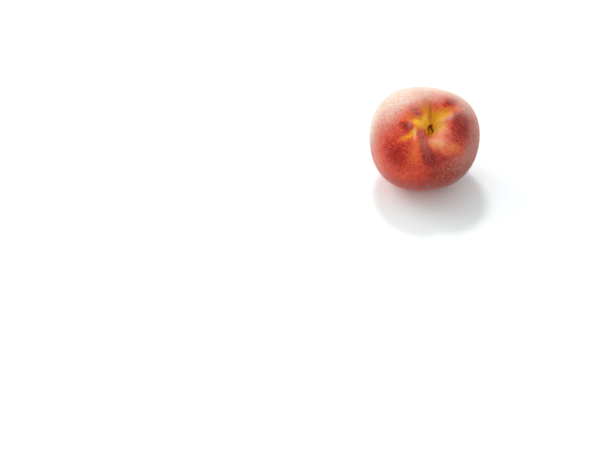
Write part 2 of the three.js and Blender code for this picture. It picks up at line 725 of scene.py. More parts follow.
class EffectGroup:
    """A shader effect that several finishes use, kept as one node group."""

    name = "effect"
    inputs: tuple[tuple[str, str, float | None], ...] = ()
    outputs: tuple[tuple[str, str], ...] = ()

    def tree(self) -> bpy.types.NodeTree:
        """Finds the effect's node group, and builds it the first time.

        Returns:
            The node group.
        """
        found = bpy.data.node_groups.get(self.name)
        if found:
            return found
        tree = bpy.data.node_groups.new(self.name, "ShaderNodeTree")
        for name, kind, value in self.inputs:
            socket = tree.interface.new_socket(name, in_out="INPUT", socket_type=kind)
            if value is not None:
                socket.default_value = value
        for name, kind in self.outputs:
            tree.interface.new_socket(name, in_out="OUTPUT", socket_type=kind)
        desk = Desk(tree)
        self.fill(desk, desk.put("NodeGroupInput").outputs, desk.put("NodeGroupOutput").inputs)
        return tree

    def fill(self, desk: Desk, given: bpy.types.NodeOutputs, wanted: bpy.types.NodeInputs) -> None:
        """Builds the nodes between the group's inputs and outputs.

        Args:
            desk: The group's desk.
            given: The group's inputs, by name.
            wanted: The group's outputs, by name.
        """
        raise NotImplementedError

    def place(self, desk: Desk, **values: Source) -> bpy.types.Node:
        """Puts the effect in a material.

        Args:
            desk: The material's desk.
            values: A socket or a plain value for each input, with underscores for spaces.

        Returns:
            The group's node.
        """
        node = desk.put("ShaderNodeGroup")
        node.node_tree = self.tree()
        for name, value in values.items():
            desk.feed(node.inputs[name.replace("_", " ").title()], value)
        return node


class MottleGroup(EffectGroup):
    """Uneven colour at three sizes, from clouds down to specks, as one number round 0."""

    name = "mottle"
    inputs = (
        ("Vector", "NodeSocketVector", None),
        ("Clouds", "NodeSocketFloat", 1.0),
        ("Blotches", "NodeSocketFloat", 1.0),
        ("Specks", "NodeSocketFloat", 1.0),
    )
    outputs = (("Value", "NodeSocketFloat"),)
    scales = (70.0, 330.0, 950.0)

    def fill(self, desk: Desk, given: bpy.types.NodeOutputs, wanted: bpy.types.NodeInputs) -> None:
        """Adds up three cloudy patterns, each with its own strength.

        Args:
            desk: The group's desk.
            given: The group's inputs, by name.
            wanted: The group's outputs, by name.
        """
        total: Source = 0.0
        for name, scale in zip(("Clouds", "Blotches", "Specks"), self.scales):
            centred = desk.maths("SUBTRACT", desk.noise(given["Vector"], scale), NOISE_MIDDLE)
            total = desk.maths("ADD", total, desk.maths("MULTIPLY", centred, given[name]))
        desk.feed(wanted["Value"], total)


class BlushGroup(EffectGroup):
    """The skin's run of colours from the yellow ground to the darkest red."""

    name = "blush_colours"
    inputs = (("Blush", "NodeSocketFloat", 0.5),)
    outputs = (("Color", "NodeSocketColor"),)
    stops: tuple[tuple[float, Colour], ...] = (
        (0.00, linear(247, 188, 58)),
        (0.10, linear(240, 166, 18)),
        (0.22, linear(230, 138, 26)),
        (0.36, linear(226, 112, 50)),
        (0.50, linear(213, 78, 44)),
        (0.62, linear(190, 48, 32)),
        (0.76, linear(160, 28, 24)),
        (1.00, linear(116, 12, 20)),
    )

    def fill(self, desk: Desk, given: bpy.types.NodeOutputs, wanted: bpy.types.NodeInputs) -> None:
        """Looks the colour up."""
        desk.feed(wanted["Color"], desk.ramp(given["Blush"], self.stops))


class DustGroup(EffectGroup):
    """Pale down lying over a colour, thicker in some places than in others, with the painted sheen and
    highlights laid on as more down.
    """

    name = "dust_and_sheen"
    inputs = (
        ("Color", "NodeSocketColor", None),
        ("Dust Color", "NodeSocketColor", None),
        ("Vector", "NodeSocketVector", None),
        ("Amount", "NodeSocketFloat", 0.2),
    )
    outputs = (("Color", "NodeSocketColor"),)
    coarse_scale = 1000.0
    coarse_change = 0.38
    fine_scale = 2600.0
    fine_change = 0.35
    thin_to_thick = (0.3, 0.7)

    def fill(self, desk: Desk, given: bpy.types.NodeOutputs, wanted: bpy.types.NodeInputs) -> None:
        """Mixes in the pale colour by the amount, broken up by two fine patterns.

        Args:
            desk: The group's desk.
            given: The group's inputs, by name.
            wanted: The group's outputs, by name.
        """
        share = given["Amount"]
        for scale, change in ((self.coarse_scale, self.coarse_change), (self.fine_scale, self.fine_change)):
            pattern = desk.noise(given["Vector"], scale, detail=2.0)
            thickness = desk.step(pattern, *self.thin_to_thick, 1.0 - change, 1.0 + change)
            share = desk.maths("MULTIPLY", share, thickness)
        desk.feed(wanted["Color"], desk.blend(share, given["Color"], given["Dust Color"]))


def new_material(name: str) -> tuple[bpy.types.Material, Desk, bpy.types.Node]:
    """Starts a material.

    Args:
        name: The material's name.

    Returns:
        The material, a desk for its tree, and its Principled shader.
    """
    material = bpy.data.materials.new(name)
    material.use_nodes = True
    return material, Desk(material.node_tree), material.node_tree.nodes["Principled BSDF"]


# ---------------------------------------------------------------- finishes


@dataclass(frozen=True)
class Mottling:
    """How strong the uneven colour is at its three sizes, and the reach over which it turns the roughness."""

    clouds: float
    blotches: float
    specks: float
    reach: float

    def place(self, desk: Desk, place: bpy.types.NodeSocket) -> bpy.types.NodeSocket:
        """Puts the uneven pattern in a material.

        Args:
            desk: The material's desk.
            place: The point on the piece.

        Returns:
            The pattern, as one number round 0.
        """
        node = MottleGroup().place(
            desk, vector=place, clouds=self.clouds, blotches=self.blotches, specks=self.specks
        )
        return node.outputs["Value"]


@dataclass(frozen=True)
class SkinFinish:
    """Downy peach skin: yellow ground colour under a red blush, with pale specks and a velvety sheen, part of
    which is painted into the colour.
    """

    dust_colour: Colour = linear(216, 205, 190)
    ochre_colour: Colour = linear(164, 94, 4)
    ochre_onset: float = 0.1
    velvet_sharpness: float = 2.0
    mottling: Mottling = Mottling(clouds=0.22, blotches=0.24, specks=0.52, reach=0.2)
    streaks: float = 0.20
    fleck_colour: Colour = linear(178, 124, 72)
    fleck_scale: float = 640.0
    fleck_edge: Reach = (0.50, 0.64)
    fleck_strength: float = 0.6
    speck_colour: Colour = linear(244, 190, 150)
    speck_scale: float = 900.0
    speck_size: float = 0.55
    speck_choice: Reach = (0.1, 0.9)
    speck_crowd_scale: float = 160.0
    speck_crowd_edge: Reach = (0.36, 0.62)
    speck_lonely: float = 0.25
    speck_blush: Reach = (0.30, 0.62)
    speck_strength: float = 0.42
    roughness: float = 0.62
    roughness_change: float = 0.07
    sheen: float = 0.4
    sheen_tint: Colour = (1.0, 0.86, 0.80)
    sheen_roughness: float = 0.36
    under_glow: float = 0.12
    under_glow_depth: float = 0.002
    under_glow_spread: Colour = (1.0, 0.35, 0.2)
    gloss: float = 0.05
    nap_scale: float = 2600.0
    wave_scale: float = 420.0
    wave_height: float = 1.5
    bump_strength: float = 0.5
    bump_height: float = 0.00012

    def material(self) -> bpy.types.Material:
        """Builds the skin's material.

        Returns:
            The material, which reads the values that the painting leaves on the mesh.
        """
        material, desk, shader = new_material("peach_skin")
        place = desk.put("ShaderNodeTexCoord").outputs["Object"]
        mottle = self.mottling.place(desk, place)
        desk.feed(shader.inputs["Base Color"], self.colour(desk, place, mottle))
        low, high = self.roughness - self.roughness_change, self.roughness + self.roughness_change
        reach = self.mottling.reach
        desk.feed(shader.inputs["Roughness"], desk.step(mottle, -reach, reach, low, high))
        desk.feed(shader.inputs["Normal"], self.nap(desk, place))
        shader.inputs["Sheen Weight"].default_value = self.sheen
        shader.inputs["Sheen Tint"].default_value = (*self.sheen_tint, 1.0)
        shader.inputs["Sheen Roughness"].default_value = self.sheen_roughness
        shader.inputs["Subsurface Weight"].default_value = self.under_glow
        shader.inputs["Subsurface Radius"].default_value = self.under_glow_spread
        shader.inputs["Subsurface Scale"].default_value = self.under_glow_depth
        shader.inputs["Specular IOR Level"].default_value = self.gloss
        return material

    def colour(
        self, desk: Desk, place: bpy.types.NodeSocket, mottle: bpy.types.NodeSocket
    ) -> bpy.types.NodeSocket:
        """Builds the skin's colour.

        Args:
            desk: The material's desk.
            place: The point on the skin.
            mottle: The uneven pattern that breaks up the blush.

        Returns:
            The colour, from the ground colour up to the down on top, which also carries the painted sheen and
            highlights.
        """
        streak = desk.noise(desk.attribute("grain").outputs["Vector"], 1.0, detail=4.0, roughness=0.6)
        streak = desk.maths("MULTIPLY", desk.maths("SUBTRACT", streak, NOISE_MIDDLE), self.streaks)
        blush = desk.maths("ADD", desk.attribute("blush").outputs["Fac"], mottle)
        blush = desk.maths("ADD", blush, streak, clamp=True)
        colour = BlushGroup().place(desk, blush=blush).outputs["Color"]
        painted = desk.attribute("ochre").outputs["Fac"]
        onset = desk.step(painted, 0.0, self.ochre_onset)
        ochre = desk.maths("MULTIPLY", desk.maths("ADD", painted, streak), onset)
        colour = desk.blend(ochre, colour, (*self.ochre_colour, 1.0))
        pattern = desk.noise(place, self.fleck_scale, roughness=0.6)
        fleck = desk.step(pattern, *self.fleck_edge, 0.0, self.fleck_strength)
        fleck = desk.maths("MULTIPLY", fleck, desk.attribute("flecks").outputs["Fac"])
        colour = desk.blend(fleck, colour, (*self.fleck_colour, 1.0))
        colour = desk.blend(self.pale_specks(desk, place, blush), colour, (*self.speck_colour, 1.0))
        dust_and_sheen = desk.maths("ADD", desk.attribute("dust_and_sheen").outputs["Fac"], self.painted_velvet_sheen(desk), clamp=True)
        dusty = DustGroup().place(
            desk, color=colour, dust_color=(*self.dust_colour, 1.0), vector=place, amount=dust_and_sheen
        )
        return dusty.outputs["Color"]

    def painted_velvet_sheen(self, desk: Desk) -> bpy.types.NodeSocket:
        """Builds a painted sheen of the down, mixed into the colour where the skin is seen edge-on on its lit
        upper back.

        Args:
            desk: The material's desk.

        Returns:
            The share of the down's colour, from 0 to 1.
        """
        facing = desk.put("ShaderNodeLayerWeight")
        facing.inputs["Blend"].default_value = 0.5
        edge = desk.maths("POWER", facing.outputs["Facing"], self.velvet_sharpness)
        # painted sheen: the down's pale colour, only where the lit-sheen mask marks the skin
        return desk.maths("MULTIPLY", desk.attribute("lit_sheen").outputs["Fac"], edge)

    def pale_specks(
        self, desk: Desk, place: bpy.types.NodeSocket, blush: bpy.types.NodeSocket
    ) -> bpy.types.NodeSocket:
        """Builds the small pale dots that stand out where the blush is strong.

        Args:
            desk: The material's desk.
            place: The point on the skin.
            blush: How red the skin is.

        Returns:
            The share of the speck colour, from 0 to 1.
        """
        cells = desk.put("ShaderNodeTexVoronoi", feature="F1")
        desk.feed(cells.inputs["Vector"], place)
        cells.inputs["Scale"].default_value = self.speck_scale
        dots = desk.step(cells.outputs["Distance"], 0.0, self.speck_size, 1.0, 0.0)
        chance = desk.put("ShaderNodeSeparateColor")
        desk.feed(chance.inputs["Color"], cells.outputs["Color"])
        chosen = desk.step(chance.outputs["Red"], *self.speck_choice)
        crowd = desk.noise(place, self.speck_crowd_scale, detail=2.0)
        crowded = desk.step(crowd, *self.speck_crowd_edge, self.speck_lonely, 1.0)
        strong = desk.step(blush, *self.speck_blush)
        where = desk.maths("MULTIPLY", strong, crowded)
        share = desk.maths("MULTIPLY", desk.maths("MULTIPLY", dots, chosen), where)
        return desk.maths("MULTIPLY", share, self.speck_strength)

    def nap(self, desk: Desk, place: bpy.types.NodeSocket) -> bpy.types.NodeSocket:
        """Builds the fine nap that the roots of the down give the skin.

        Args:
            desk: The material's desk.
            place: The point on the skin.

        Returns:
            The bumped normal.
        """
        fine = desk.noise(place, self.nap_scale, detail=2.0, roughness=0.6)
        waves = desk.noise(place, self.wave_scale, detail=2.0)
        bump = desk.put("ShaderNodeBump")
        bump.inputs["Strength"].default_value = self.bump_strength
        bump.inputs["Distance"].default_value = self.bump_height
        height = desk.maths("ADD", fine, desk.maths("MULTIPLY", waves, self.wave_height))
        desk.feed(bump.inputs["Height"], height)
        return bump.outputs["Normal"]


@dataclass(frozen=True)
class DownFinish:
    """The hairs of the down: pale, with some of the skin's own colour shining through them."""

    pale: Colour = linear(244, 226, 212)
    paleness: float = 0.45
    mottling: Mottling = Mottling(clouds=0.3, blotches=0.4, specks=0.2, reach=0.35)
    roughness: float = 0.7
    roughness_change: float = 0.1
    gloss: float = 0.05

    def material(self) -> bpy.types.Material:
        """Builds the down's material.

        Returns:
            The material, which reads the skin's blush, and its down with the painted sheen and highlights,
            where each hair grows.
        """
        material, desk, shader = new_material("down")
        place = desk.put("ShaderNodeTexCoord").outputs["Object"]
        mottle = self.mottling.place(desk, place)
        skin = BlushGroup().place(desk, blush=desk.attribute("blush").outputs["Fac"]).outputs["Color"]
        share = desk.maths("ADD", mottle, self.paleness)
        share = desk.maths("ADD", share, desk.attribute("dust_and_sheen").outputs["Fac"], clamp=True)
        desk.feed(shader.inputs["Base Color"], desk.blend(share, skin, (*self.pale, 1.0)))
        low, high = self.roughness - self.roughness_change, self.roughness + self.roughness_change
        reach = self.mottling.reach
        desk.feed(shader.inputs["Roughness"], desk.step(mottle, -reach, reach, low, high))
        shader.inputs["Specular IOR Level"].default_value = self.gloss
        return material


@dataclass(frozen=True)
class CorkFinish:
    """The dry, corky tissue where the stalk broke away: dark brown, with paler torn edges."""

    name: str = "scar_cork"
    dark: Colour = linear(74, 38, 14)
    middle: Colour = linear(200, 108, 20)
    pale: Colour = linear(250, 204, 60)
    middle_tone: float = 0.45
    mottling: Mottling = Mottling(clouds=0.0, blotches=0.3, specks=0.6, reach=0.3)
    roughness: float = 0.85
    roughness_change: float = 0.08
    gloss: float = 0.15
    grain_scale: float = 1900.0
    grain_roughness: float = 0.65
    bump_strength: float = 0.8
    bump_height: float = 0.00018

    def material(self) -> bpy.types.Material:
        """Builds the cork's material.

        Returns:
            The material, which reads the paleness that the piece's mesh holds.
        """
        material, desk, shader = new_material(self.name)
        place = desk.put("ShaderNodeTexCoord").outputs["Object"]
        mottle = self.mottling.place(desk, place)
        tone = desk.maths("ADD", desk.attribute("paleness").outputs["Fac"], mottle, clamp=True)
        stops = ((0.0, self.dark), (self.middle_tone, self.middle), (1.0, self.pale))
        desk.feed(shader.inputs["Base Color"], desk.ramp(tone, stops))
        low, high = self.roughness - self.roughness_change, self.roughness + self.roughness_change
        reach = self.mottling.reach
        desk.feed(shader.inputs["Roughness"], desk.step(mottle, -reach, reach, low, high))
        bump = desk.put("ShaderNodeBump")
        bump.inputs["Strength"].default_value = self.bump_strength
        bump.inputs["Distance"].default_value = self.bump_height
        desk.feed(bump.inputs["Height"], desk.noise(place, self.grain_scale, roughness=self.grain_roughness))
        desk.feed(shader.inputs["Normal"], bump.outputs["Normal"])
        shader.inputs["Specular IOR Level"].default_value = self.gloss
        return material


# ---------------------------------------------------------------- pieces


@dataclass(frozen=True)
class Patch:
    """A patch of colour on the skin.

    The length runs away from the stem end and the breadth runs round the fruit. Both are half sizes in
    millimetres, before the patch is turned by an angle in degrees.
    """

    polar: float
    azimuth: float
    half_length: float
    half_breadth: float
    strength: float
    turn: float = 0.0
    sharpness: float = 2.0

    def share(self, at: Places, radius: float) -> np.ndarray:
        """Finds how much of the patch there is.

        Args:
            at: Where it is wanted.
            radius: The fruit's mean radius.

        Returns:
            The share at each place, from 0 to 1.
        """
        polar, azimuth = math.radians(self.polar), math.radians(self.azimuth)
        cos_p, sin_p, cos_a, sin_a = math.cos(polar), math.sin(polar), math.cos(azimuth), math.sin(azimuth)
        middle = np.array([sin_p * cos_a, sin_p * sin_a, cos_p])
        away = np.arccos(np.clip(at.direction @ middle, -1.0, 1.0))
        stretch = radius * away / np.maximum(np.sin(away), TINY)
        out = stretch * (at.direction @ np.array([cos_p * cos_a, cos_p * sin_a, -sin_p]))
        side = stretch * (at.direction @ np.array([-sin_a, cos_a, 0.0]))
        angle = math.radians(self.turn)
        lengthwise = out * math.cos(angle) + side * math.sin(angle)
        crosswise = side * math.cos(angle) - out * math.sin(angle)
        distance = np.hypot(lengthwise / self.half_length, crosswise / self.half_breadth)
        return bell(distance, 1.0, self.sharpness)


@dataclass(frozen=True)
class Wander:
    """How far the colours' edges stray from clean curves, in waves of a few lengths, in millimetres."""

    lengths: tuple[float, ...] = (9.0, 5.0, 2.6, 1.5)
    reaches: tuple[float, ...] = (0.45, 0.25, 0.14, 0.09)
    seed: int = 11

    def stray(self, direction: np.ndarray, radius: float) -> np.ndarray:
        """Moves directions a little.

        Args:
            direction: Unit vectors, one row each.
            radius: The fruit's mean radius.

        Returns:
            Unit vectors, each up to about a millimetre away on the skin.
        """
        start = direction * radius
        moved = start.copy()
        for number, (length, reach) in enumerate(zip(self.lengths, self.reaches)):
            for axis in range(3):
                moved[:, axis] += reach * hills(start, length, self.seed + 3 * number + axis)
        return moved / np.linalg.norm(moved, axis=1, keepdims=True)


@dataclass(frozen=True)
class SkinPainting:
    """Where the colours lie on the skin.

    Each patch gives its polar angle, azimuth, half length, half breadth and strength, and some give a turn
    and a sharpness too. The hollow's blush and the band on the seam's bank are kept apart from the patches.
    """

    form: FruitForm = field(default_factory=FruitForm)
    wander: Wander = field(default_factory=Wander)
    blush_base: float = 0.56
    hollow_blush: float = 0.03
    hollow_blush_spread: float = 10.5
    hollow_blush_sharpness: float = 4.0
    dust_base: float = 0.02
    dust_start: Reach = (15.0, 25.0)
    band_blush: float = 0.20
    band_dust: float = 0.07
    band_dust_end: Reach = (20.0, 42.0)
    band_start: Reach = (12.0, 19.0)
    band_left: float = -6.5
    band_left_softness: float = 0.7
    band_right: float = -1.2
    band_right_softness: float = 2.2
    band_widening: float = 0.17
    band_widening_start: float = 18.0
    band_fade_start: float = 32.0
    band_fade: float = 16.0
    # painted highlight on the down, strongest on the upper back that faces the lamps; a fixed share goes into
    # the colour and the rest shows where the skin is seen edge-on
    lit_sheen_azimuth: float = -25.0
    lit_sheen_height: float = 25.0
    lit_sheen_edge: Reach = (-0.05, 0.65)
    lit_sheen_fixed: float = 0.3
    # the fixed direction, in front of the fruit and above it, from which the painted sheen rim is seen
    # edge-on
    painted_rim_view: tuple[float, float, float] = (-0.07, -0.81, 0.59)
    painted_rim_sharpness: float = 2.0
    streaks_round: float = 9.0
    streak_stretch: float = 0.035
    blush_patches: tuple[Patch, ...] = (
        # the yellow ground inside the hollow, on its back, left and right walls
        Patch(14.0, 180.0, 5.5, 6.5, -0.40, 0.0, 3.0),
        Patch(14.0, -118.0, 5.0, 5.5, -0.43, 0.0, 3.0),
        Patch(12.0, 88.0, 4.2, 6.5, -0.34, 0.0, 2.5),
        Patch(17.0, 92.0, 3.5, 3.0, -0.12),
        Patch(15.0, -118.0, 5.0, 3.5, -0.07),
        Patch(21.0, 148.0, 3.4, 2.4, -0.28, 0.0, 2.5),
        # the yellow rays along the folds, and the pale lips beside two of them
        Patch(22.0, 133.0, 8.5, 2.6, -0.40, -10.0, 3.0),
        Patch(23.0, 119.0, 6.5, 1.6, -0.26, 0.0, 2.5),
        Patch(25.0, -114.0, 5.5, 1.8, -0.30, 12.0, 2.5),
        Patch(29.0, -76.0, 6.6, 2.1, -0.48, 14.0, 2.5),
        # the pale lip on the left cheek's crest beside the seam: yellow ground here, with a painted highlight
        # laid on it among the pale patches below
        Patch(21.3, -75.0, 1.0, 4.2, -0.32, -15.0, 2.5),
        # the orange ground in front of the hollow and on the left lobe
        Patch(20.0, 6.0, 4.2, 6.4, -0.32, -10.0, 2.5),
        Patch(33.5, 35.0, 3.8, 6.5, -0.21, -20.0),
        Patch(33.0, -40.0, 7.5, 4.0, -0.18, 25.0),
        Patch(32.0, -120.0, 4.5, 3.0, -0.13),
        Patch(24.0, -168.0, 3.5, 3.0, -0.22),
        # the dark red patches between the folds
        Patch(28.5, -101.0, 3.8, 4.6, 0.25, 0.0, 3.0),
        Patch(23.8, -139.0, 4.4, 1.7, 0.30, 8.0),
        Patch(38.0, 138.5, 4.8, 3.4, 0.31, -20.0, 2.5),
        Patch(31.0, 89.0, 7.2, 10.8, 0.21, 0.0, 4.0),
        Patch(36.5, 92.0, 4.0, 6.0, 0.08),
        Patch(32.5, 114.0, 3.4, 2.6, 0.17),
        Patch(23.0, 100.0, 1.8, 2.6, -0.13),
        Patch(38.5, 120.0, 3.0, 2.6, -0.18),
        Patch(50.0, 88.0, 8.5, 24.0, 0.15, 0.0, 2.5),
        # a thin darker line down the back wall of the hollow: partly the crease's own colour and partly
        # painted shade in it
        Patch(24.0, 180.0, 4.5, 0.9, 0.06),
        # the broad reds of the seam side
        Patch(37.0, 10.0, 4.5, 9.5, 0.14, 0.0, 2.5),
        Patch(52.0, 12.0, 8.0, 14.0, 0.13),
        Patch(50.0, -63.0, 9.5, 10.0, 0.18, 0.0, 2.5),
        # these two deepen the red low on the underside: partly the skin's own colour and partly painted shade
        # where the fruit lies on the table
        Patch(74.0, 28.0, 13.0, 36.0, 0.28),
        Patch(86.0, -4.0, 7.0, 26.0, 0.12),
        Patch(68.0, -38.0, 5.0, 6.0, -0.08),
        Patch(43.0, -82.0, 5.5, 4.5, -0.07),
        # the far side: two deep red cheeks with the ground colour between them
        Patch(104.0, -116.0, 24.0, 21.0, 0.27, 20.0, 3.0),
        Patch(118.0, 66.0, 22.0, 20.0, 0.24, -15.0, 3.0),
        Patch(96.0, 158.0, 21.0, 15.0, -0.30, 12.0, 2.5),
        Patch(128.0, 176.0, 13.0, 9.0, -0.16, 25.0),
        Patch(140.0, -30.0, 12.0, 14.0, -0.20, 0.0, 2.5),
        Patch(174.0, 0.0, 6.0, 6.0, -0.20, 0.0, 3.0),
    )
    ochre_patches: tuple[Patch, ...] = (
        # the back wall of the hollow, with two fine lines down it: ochre that is partly the wall's own colour
        # and partly painted shade on the wall and in the groove down it, which are turned away from the lamps
        Patch(17.5, 180.0, 6.0, 2.2, 0.32, 0.0, 2.5),
        Patch(16.5, 181.0, 7.0, 0.7, 0.16, 0.0, 3.0),
        Patch(16.0, -166.0, 5.5, 0.5, 0.24, 0.0, 3.0),
        Patch(30.0, -174.0, 7.5, 6.5, 0.30),
        Patch(27.0, -158.0, 3.0, 3.5, 0.16),
        # round the stalk's pit, and the outer ends of two rays
        Patch(1.5, 0.0, 5.6, 3.8, 0.38, 0.0, 3.0),
        Patch(27.0, 131.0, 5.5, 1.7, 0.36, -8.0, 2.5),
        Patch(18.0, 139.0, 4.0, 2.6, 0.24),
        Patch(33.0, -72.0, 2.8, 1.5, 0.22),
    )
    dust_and_sheen_patches: tuple[Patch, ...] = (
        # the shoulders: the down's own pale bloom, lightened further as a painted highlight on the upper
        # shoulders, which face the lamps, and as a painted sheen along the left edge
        Patch(57.0, 180.0, 13.5, 32.0, 0.36, 0.0, 3.0),
        Patch(50.0, -131.0, 9.0, 14.0, 0.42, 0.0, 2.5),
        Patch(52.0, 120.0, 8.5, 8.0, 0.30, 0.0, 2.5),
        Patch(57.0, 72.0, 9.5, 18.0, 0.19, 0.0, 3.0),
        Patch(50.0, 34.0, 7.0, 13.0, 0.12, 0.0, 2.5),
        Patch(78.0, -110.0, 11.0, 22.0, 0.24, 0.0, 2.5),
        Patch(36.0, 180.0, 4.5, 11.0, 0.18),
        Patch(38.0, -149.0, 5.0, 7.0, 0.26),
        Patch(46.0, -122.0, 6.0, 7.0, 0.08),
        Patch(38.5, 141.0, 5.5, 4.5, -0.10),
        Patch(23.0, -138.0, 4.4, 2.2, 0.08),
        Patch(14.5, -80.0, 3.0, 4.0, 0.05),
        # the walls and lips of the hollow
        Patch(13.0, 60.0, 4.0, 6.4, 0.30),
        Patch(16.5, 2.0, 2.8, 6.0, 0.24),
        Patch(22.0, 16.0, 3.0, 4.0, 0.12),
        Patch(22.5, 116.0, 5.6, 2.1, 0.30, 0.0, 2.5),
        Patch(40.0, 117.0, 3.5, 4.0, 0.10),
        Patch(56.0, 24.0, 11.0, 15.0, -0.04),
        Patch(28.0, 30.0, 6.0, 8.0, 0.06),
        Patch(48.0, -60.0, 7.0, 8.0, -0.05),
        Patch(86.0, -68.0, 8.0, 14.0, 0.11),
        Patch(34.0, -111.0, 3.5, 3.5, -0.08),
        Patch(54.0, 117.0, 8.0, 12.0, 0.12),
        # a painted highlight along the left cheek's crest beside the seam, where it catches the lamps
        Patch(21.3, -75.0, 1.1, 4.2, 0.28, -15.0, 2.5),
        Patch(26.0, -102.0, 1.4, 2.2, 0.16),
    )
    fleck_patches: tuple[Patch, ...] = (
        # low on the seam side, and on the far cheek
        Patch(62.0, 26.0, 13.0, 20.0, 1.00, 0.0, 3.0),
        Patch(104.0, -150.0, 12.0, 16.0, 0.60, 0.0, 3.0),
    )

    def total(self, patches: tuple[Patch, ...], at: Places) -> np.ndarray:
        """Adds up patches.

        Args:
            patches: The patches to add.
            at: Where they are wanted.

        Returns:
            The sum of their strengths at each place.
        """
        return sum(patch.strength * patch.share(at, self.form.cheek_radius) for patch in patches)

    def band(self, at: Places) -> np.ndarray:
        """Finds the dusky band on the seam's steep bank: partly the seam's own darker red, and partly painted
        shade on a bank that is turned away from the lamps.

        Args:
            at: Where it is wanted.

        Returns:
            How much of it there is at each place, from 0 to 1.
        """
        start = self.form.seam_side(at) * ease(at.polar, *self.band_start)
        soft = self.band_left_softness
        left_edge = ease(at.from_seam, self.band_left - soft, self.band_left + soft)
        wider = self.band_widening * np.maximum(at.polar - self.band_widening_start, 0.0)
        soft = self.band_right_softness
        right_edge = 1.0 - ease(at.from_seam - wider, self.band_right - soft, self.band_right + soft)
        past = np.maximum(at.polar - self.band_fade_start, 0.0)
        return start * left_edge * right_edge * bell(past, self.band_fade)

    def blush(self, at: Places) -> np.ndarray:
        """Finds how red the skin is.

        Args:
            at: Where it is wanted.

        Returns:
            The blush at each place, from 0, the yellow ground, to 1, the darkest red.
        """
        value = self.blush_base + self.total(self.blush_patches, at) + self.band_blush * self.band(at)
        inside = bell(at.polar, self.hollow_blush_spread, self.hollow_blush_sharpness)
        return value * (1.0 - inside) + self.hollow_blush * inside

    def dust_and_sheen(self, at: Places) -> np.ndarray:
        """Finds how thick the pale down lies, with the painted highlights and sheen on the shoulders laid on
        as more down.

        Args:
            at: Where it is wanted.

        Returns:
            The share of the down's colour at each place.
        """
        near = 1.0 - ease(at.polar, *self.band_dust_end)
        base = self.dust_base * ease(at.polar, *self.dust_start)
        return base + self.total(self.dust_and_sheen_patches, at) + self.band_dust * near * self.band(at)

    def lit_sheen(self, at: Places) -> np.ndarray:
        """Finds where the down is painted as lit, which is most on the upper back of the lying fruit, where
        it faces the lamps.

        Args:
            at: Where it is wanted.

        Returns:
            The share at each place, from 0 to 1.
        """
        azimuth, height = math.radians(self.lit_sheen_azimuth), math.radians(self.lit_sheen_height)
        level = math.cos(height)
        toward = np.array([math.sin(azimuth) * level, math.cos(azimuth) * level, math.sin(height)])
        return ease(at.direction @ self.form.axes() @ toward, *self.lit_sheen_edge)

    def girth(self, normal: np.ndarray) -> np.ndarray:
        """Finds a painted sheen rim, which is lightest where the skin is seen edge-on from one fixed
        direction in front of the fruit and above it.

        Args:
            normal: Which way the skin faces at each point, on the table.

        Returns:
            The share at each point, from 0 to 1.
        """
        return (1.0 - np.abs(normal @ np.array(self.painted_rim_view))) ** self.painted_rim_sharpness

    def grain(self, at: Places) -> np.ndarray:
        """Places the skin in a pattern that is drawn out from the stem end to the tip.

        Args:
            at: The skin's points.

        Returns:
            Each point's place in the pattern.
        """
        girth = np.radians(at.azimuth)
        round_trip = self.streaks_round * np.stack([np.cos(girth), np.sin(girth)], axis=1)
        return np.column_stack([round_trip, self.streak_stretch * at.polar])

    def values(self, at: Places, normal: np.ndarray) -> dict[str, np.ndarray]:
        """Finds everything that the materials read.

        Args:
            at: The skin's points.
            normal: Which way the skin faces at each one, on the table.

        Returns:
            The values at each point, by the name of their attribute.
        """
        strayed = self.form.places(self.wander.stray(at.direction, self.form.cheek_radius))
        lit_sheen = self.lit_sheen(at)
        return {
            "blush": self.blush(strayed),
            # the fixed share of the painted highlight, laid on as a painted sheen rim for one view
            "dust_and_sheen": self.dust_and_sheen(strayed) + self.lit_sheen_fixed * lit_sheen * self.girth(normal),
            "ochre": self.total(self.ochre_patches, strayed),
            "flecks": self.total(self.fleck_patches, strayed),
            "lit_sheen": (1.0 - self.lit_sheen_fixed) * lit_sheen,
            "polar": at.polar,
        }


def new_piece(
    name: str,
    points: np.ndarray,
    faces: list[tuple[int, ...]],
    material: bpy.types.Material,
) -> bpy.types.Object:
    """Makes a smooth piece from points and faces.

    Args:
        name: The piece's name.
        points: The corners, in metres.
        faces: The numbers of each face's corners.
        material: What it is dressed in.

    Returns:
        The piece, at the origin, in the scene.
    """
    mesh = bpy.data.meshes.new(name)
    mesh.from_pydata(points.tolist(), [], faces)
    mesh.polygons.foreach_set("use_smooth", [True] * len(mesh.polygons))
    mesh.materials.append(material)
    mesh.update()
    piece = bpy.data.objects.new(name, mesh)
    bpy.context.scene.collection.objects.link(piece)
    return piece


def write_values(mesh: bpy.types.Mesh, values: dict[str, np.ndarray]) -> None:
    """Keeps numbers on a mesh for the materials to read.

    Args:
        mesh: The mesh.
        values: A number for each of its points, by the name of their attribute.
    """
    for name, numbers in values.items():
        mesh.attributes.new(name, "FLOAT", "POINT").data.foreach_set("value", numbers.astype(np.float32))


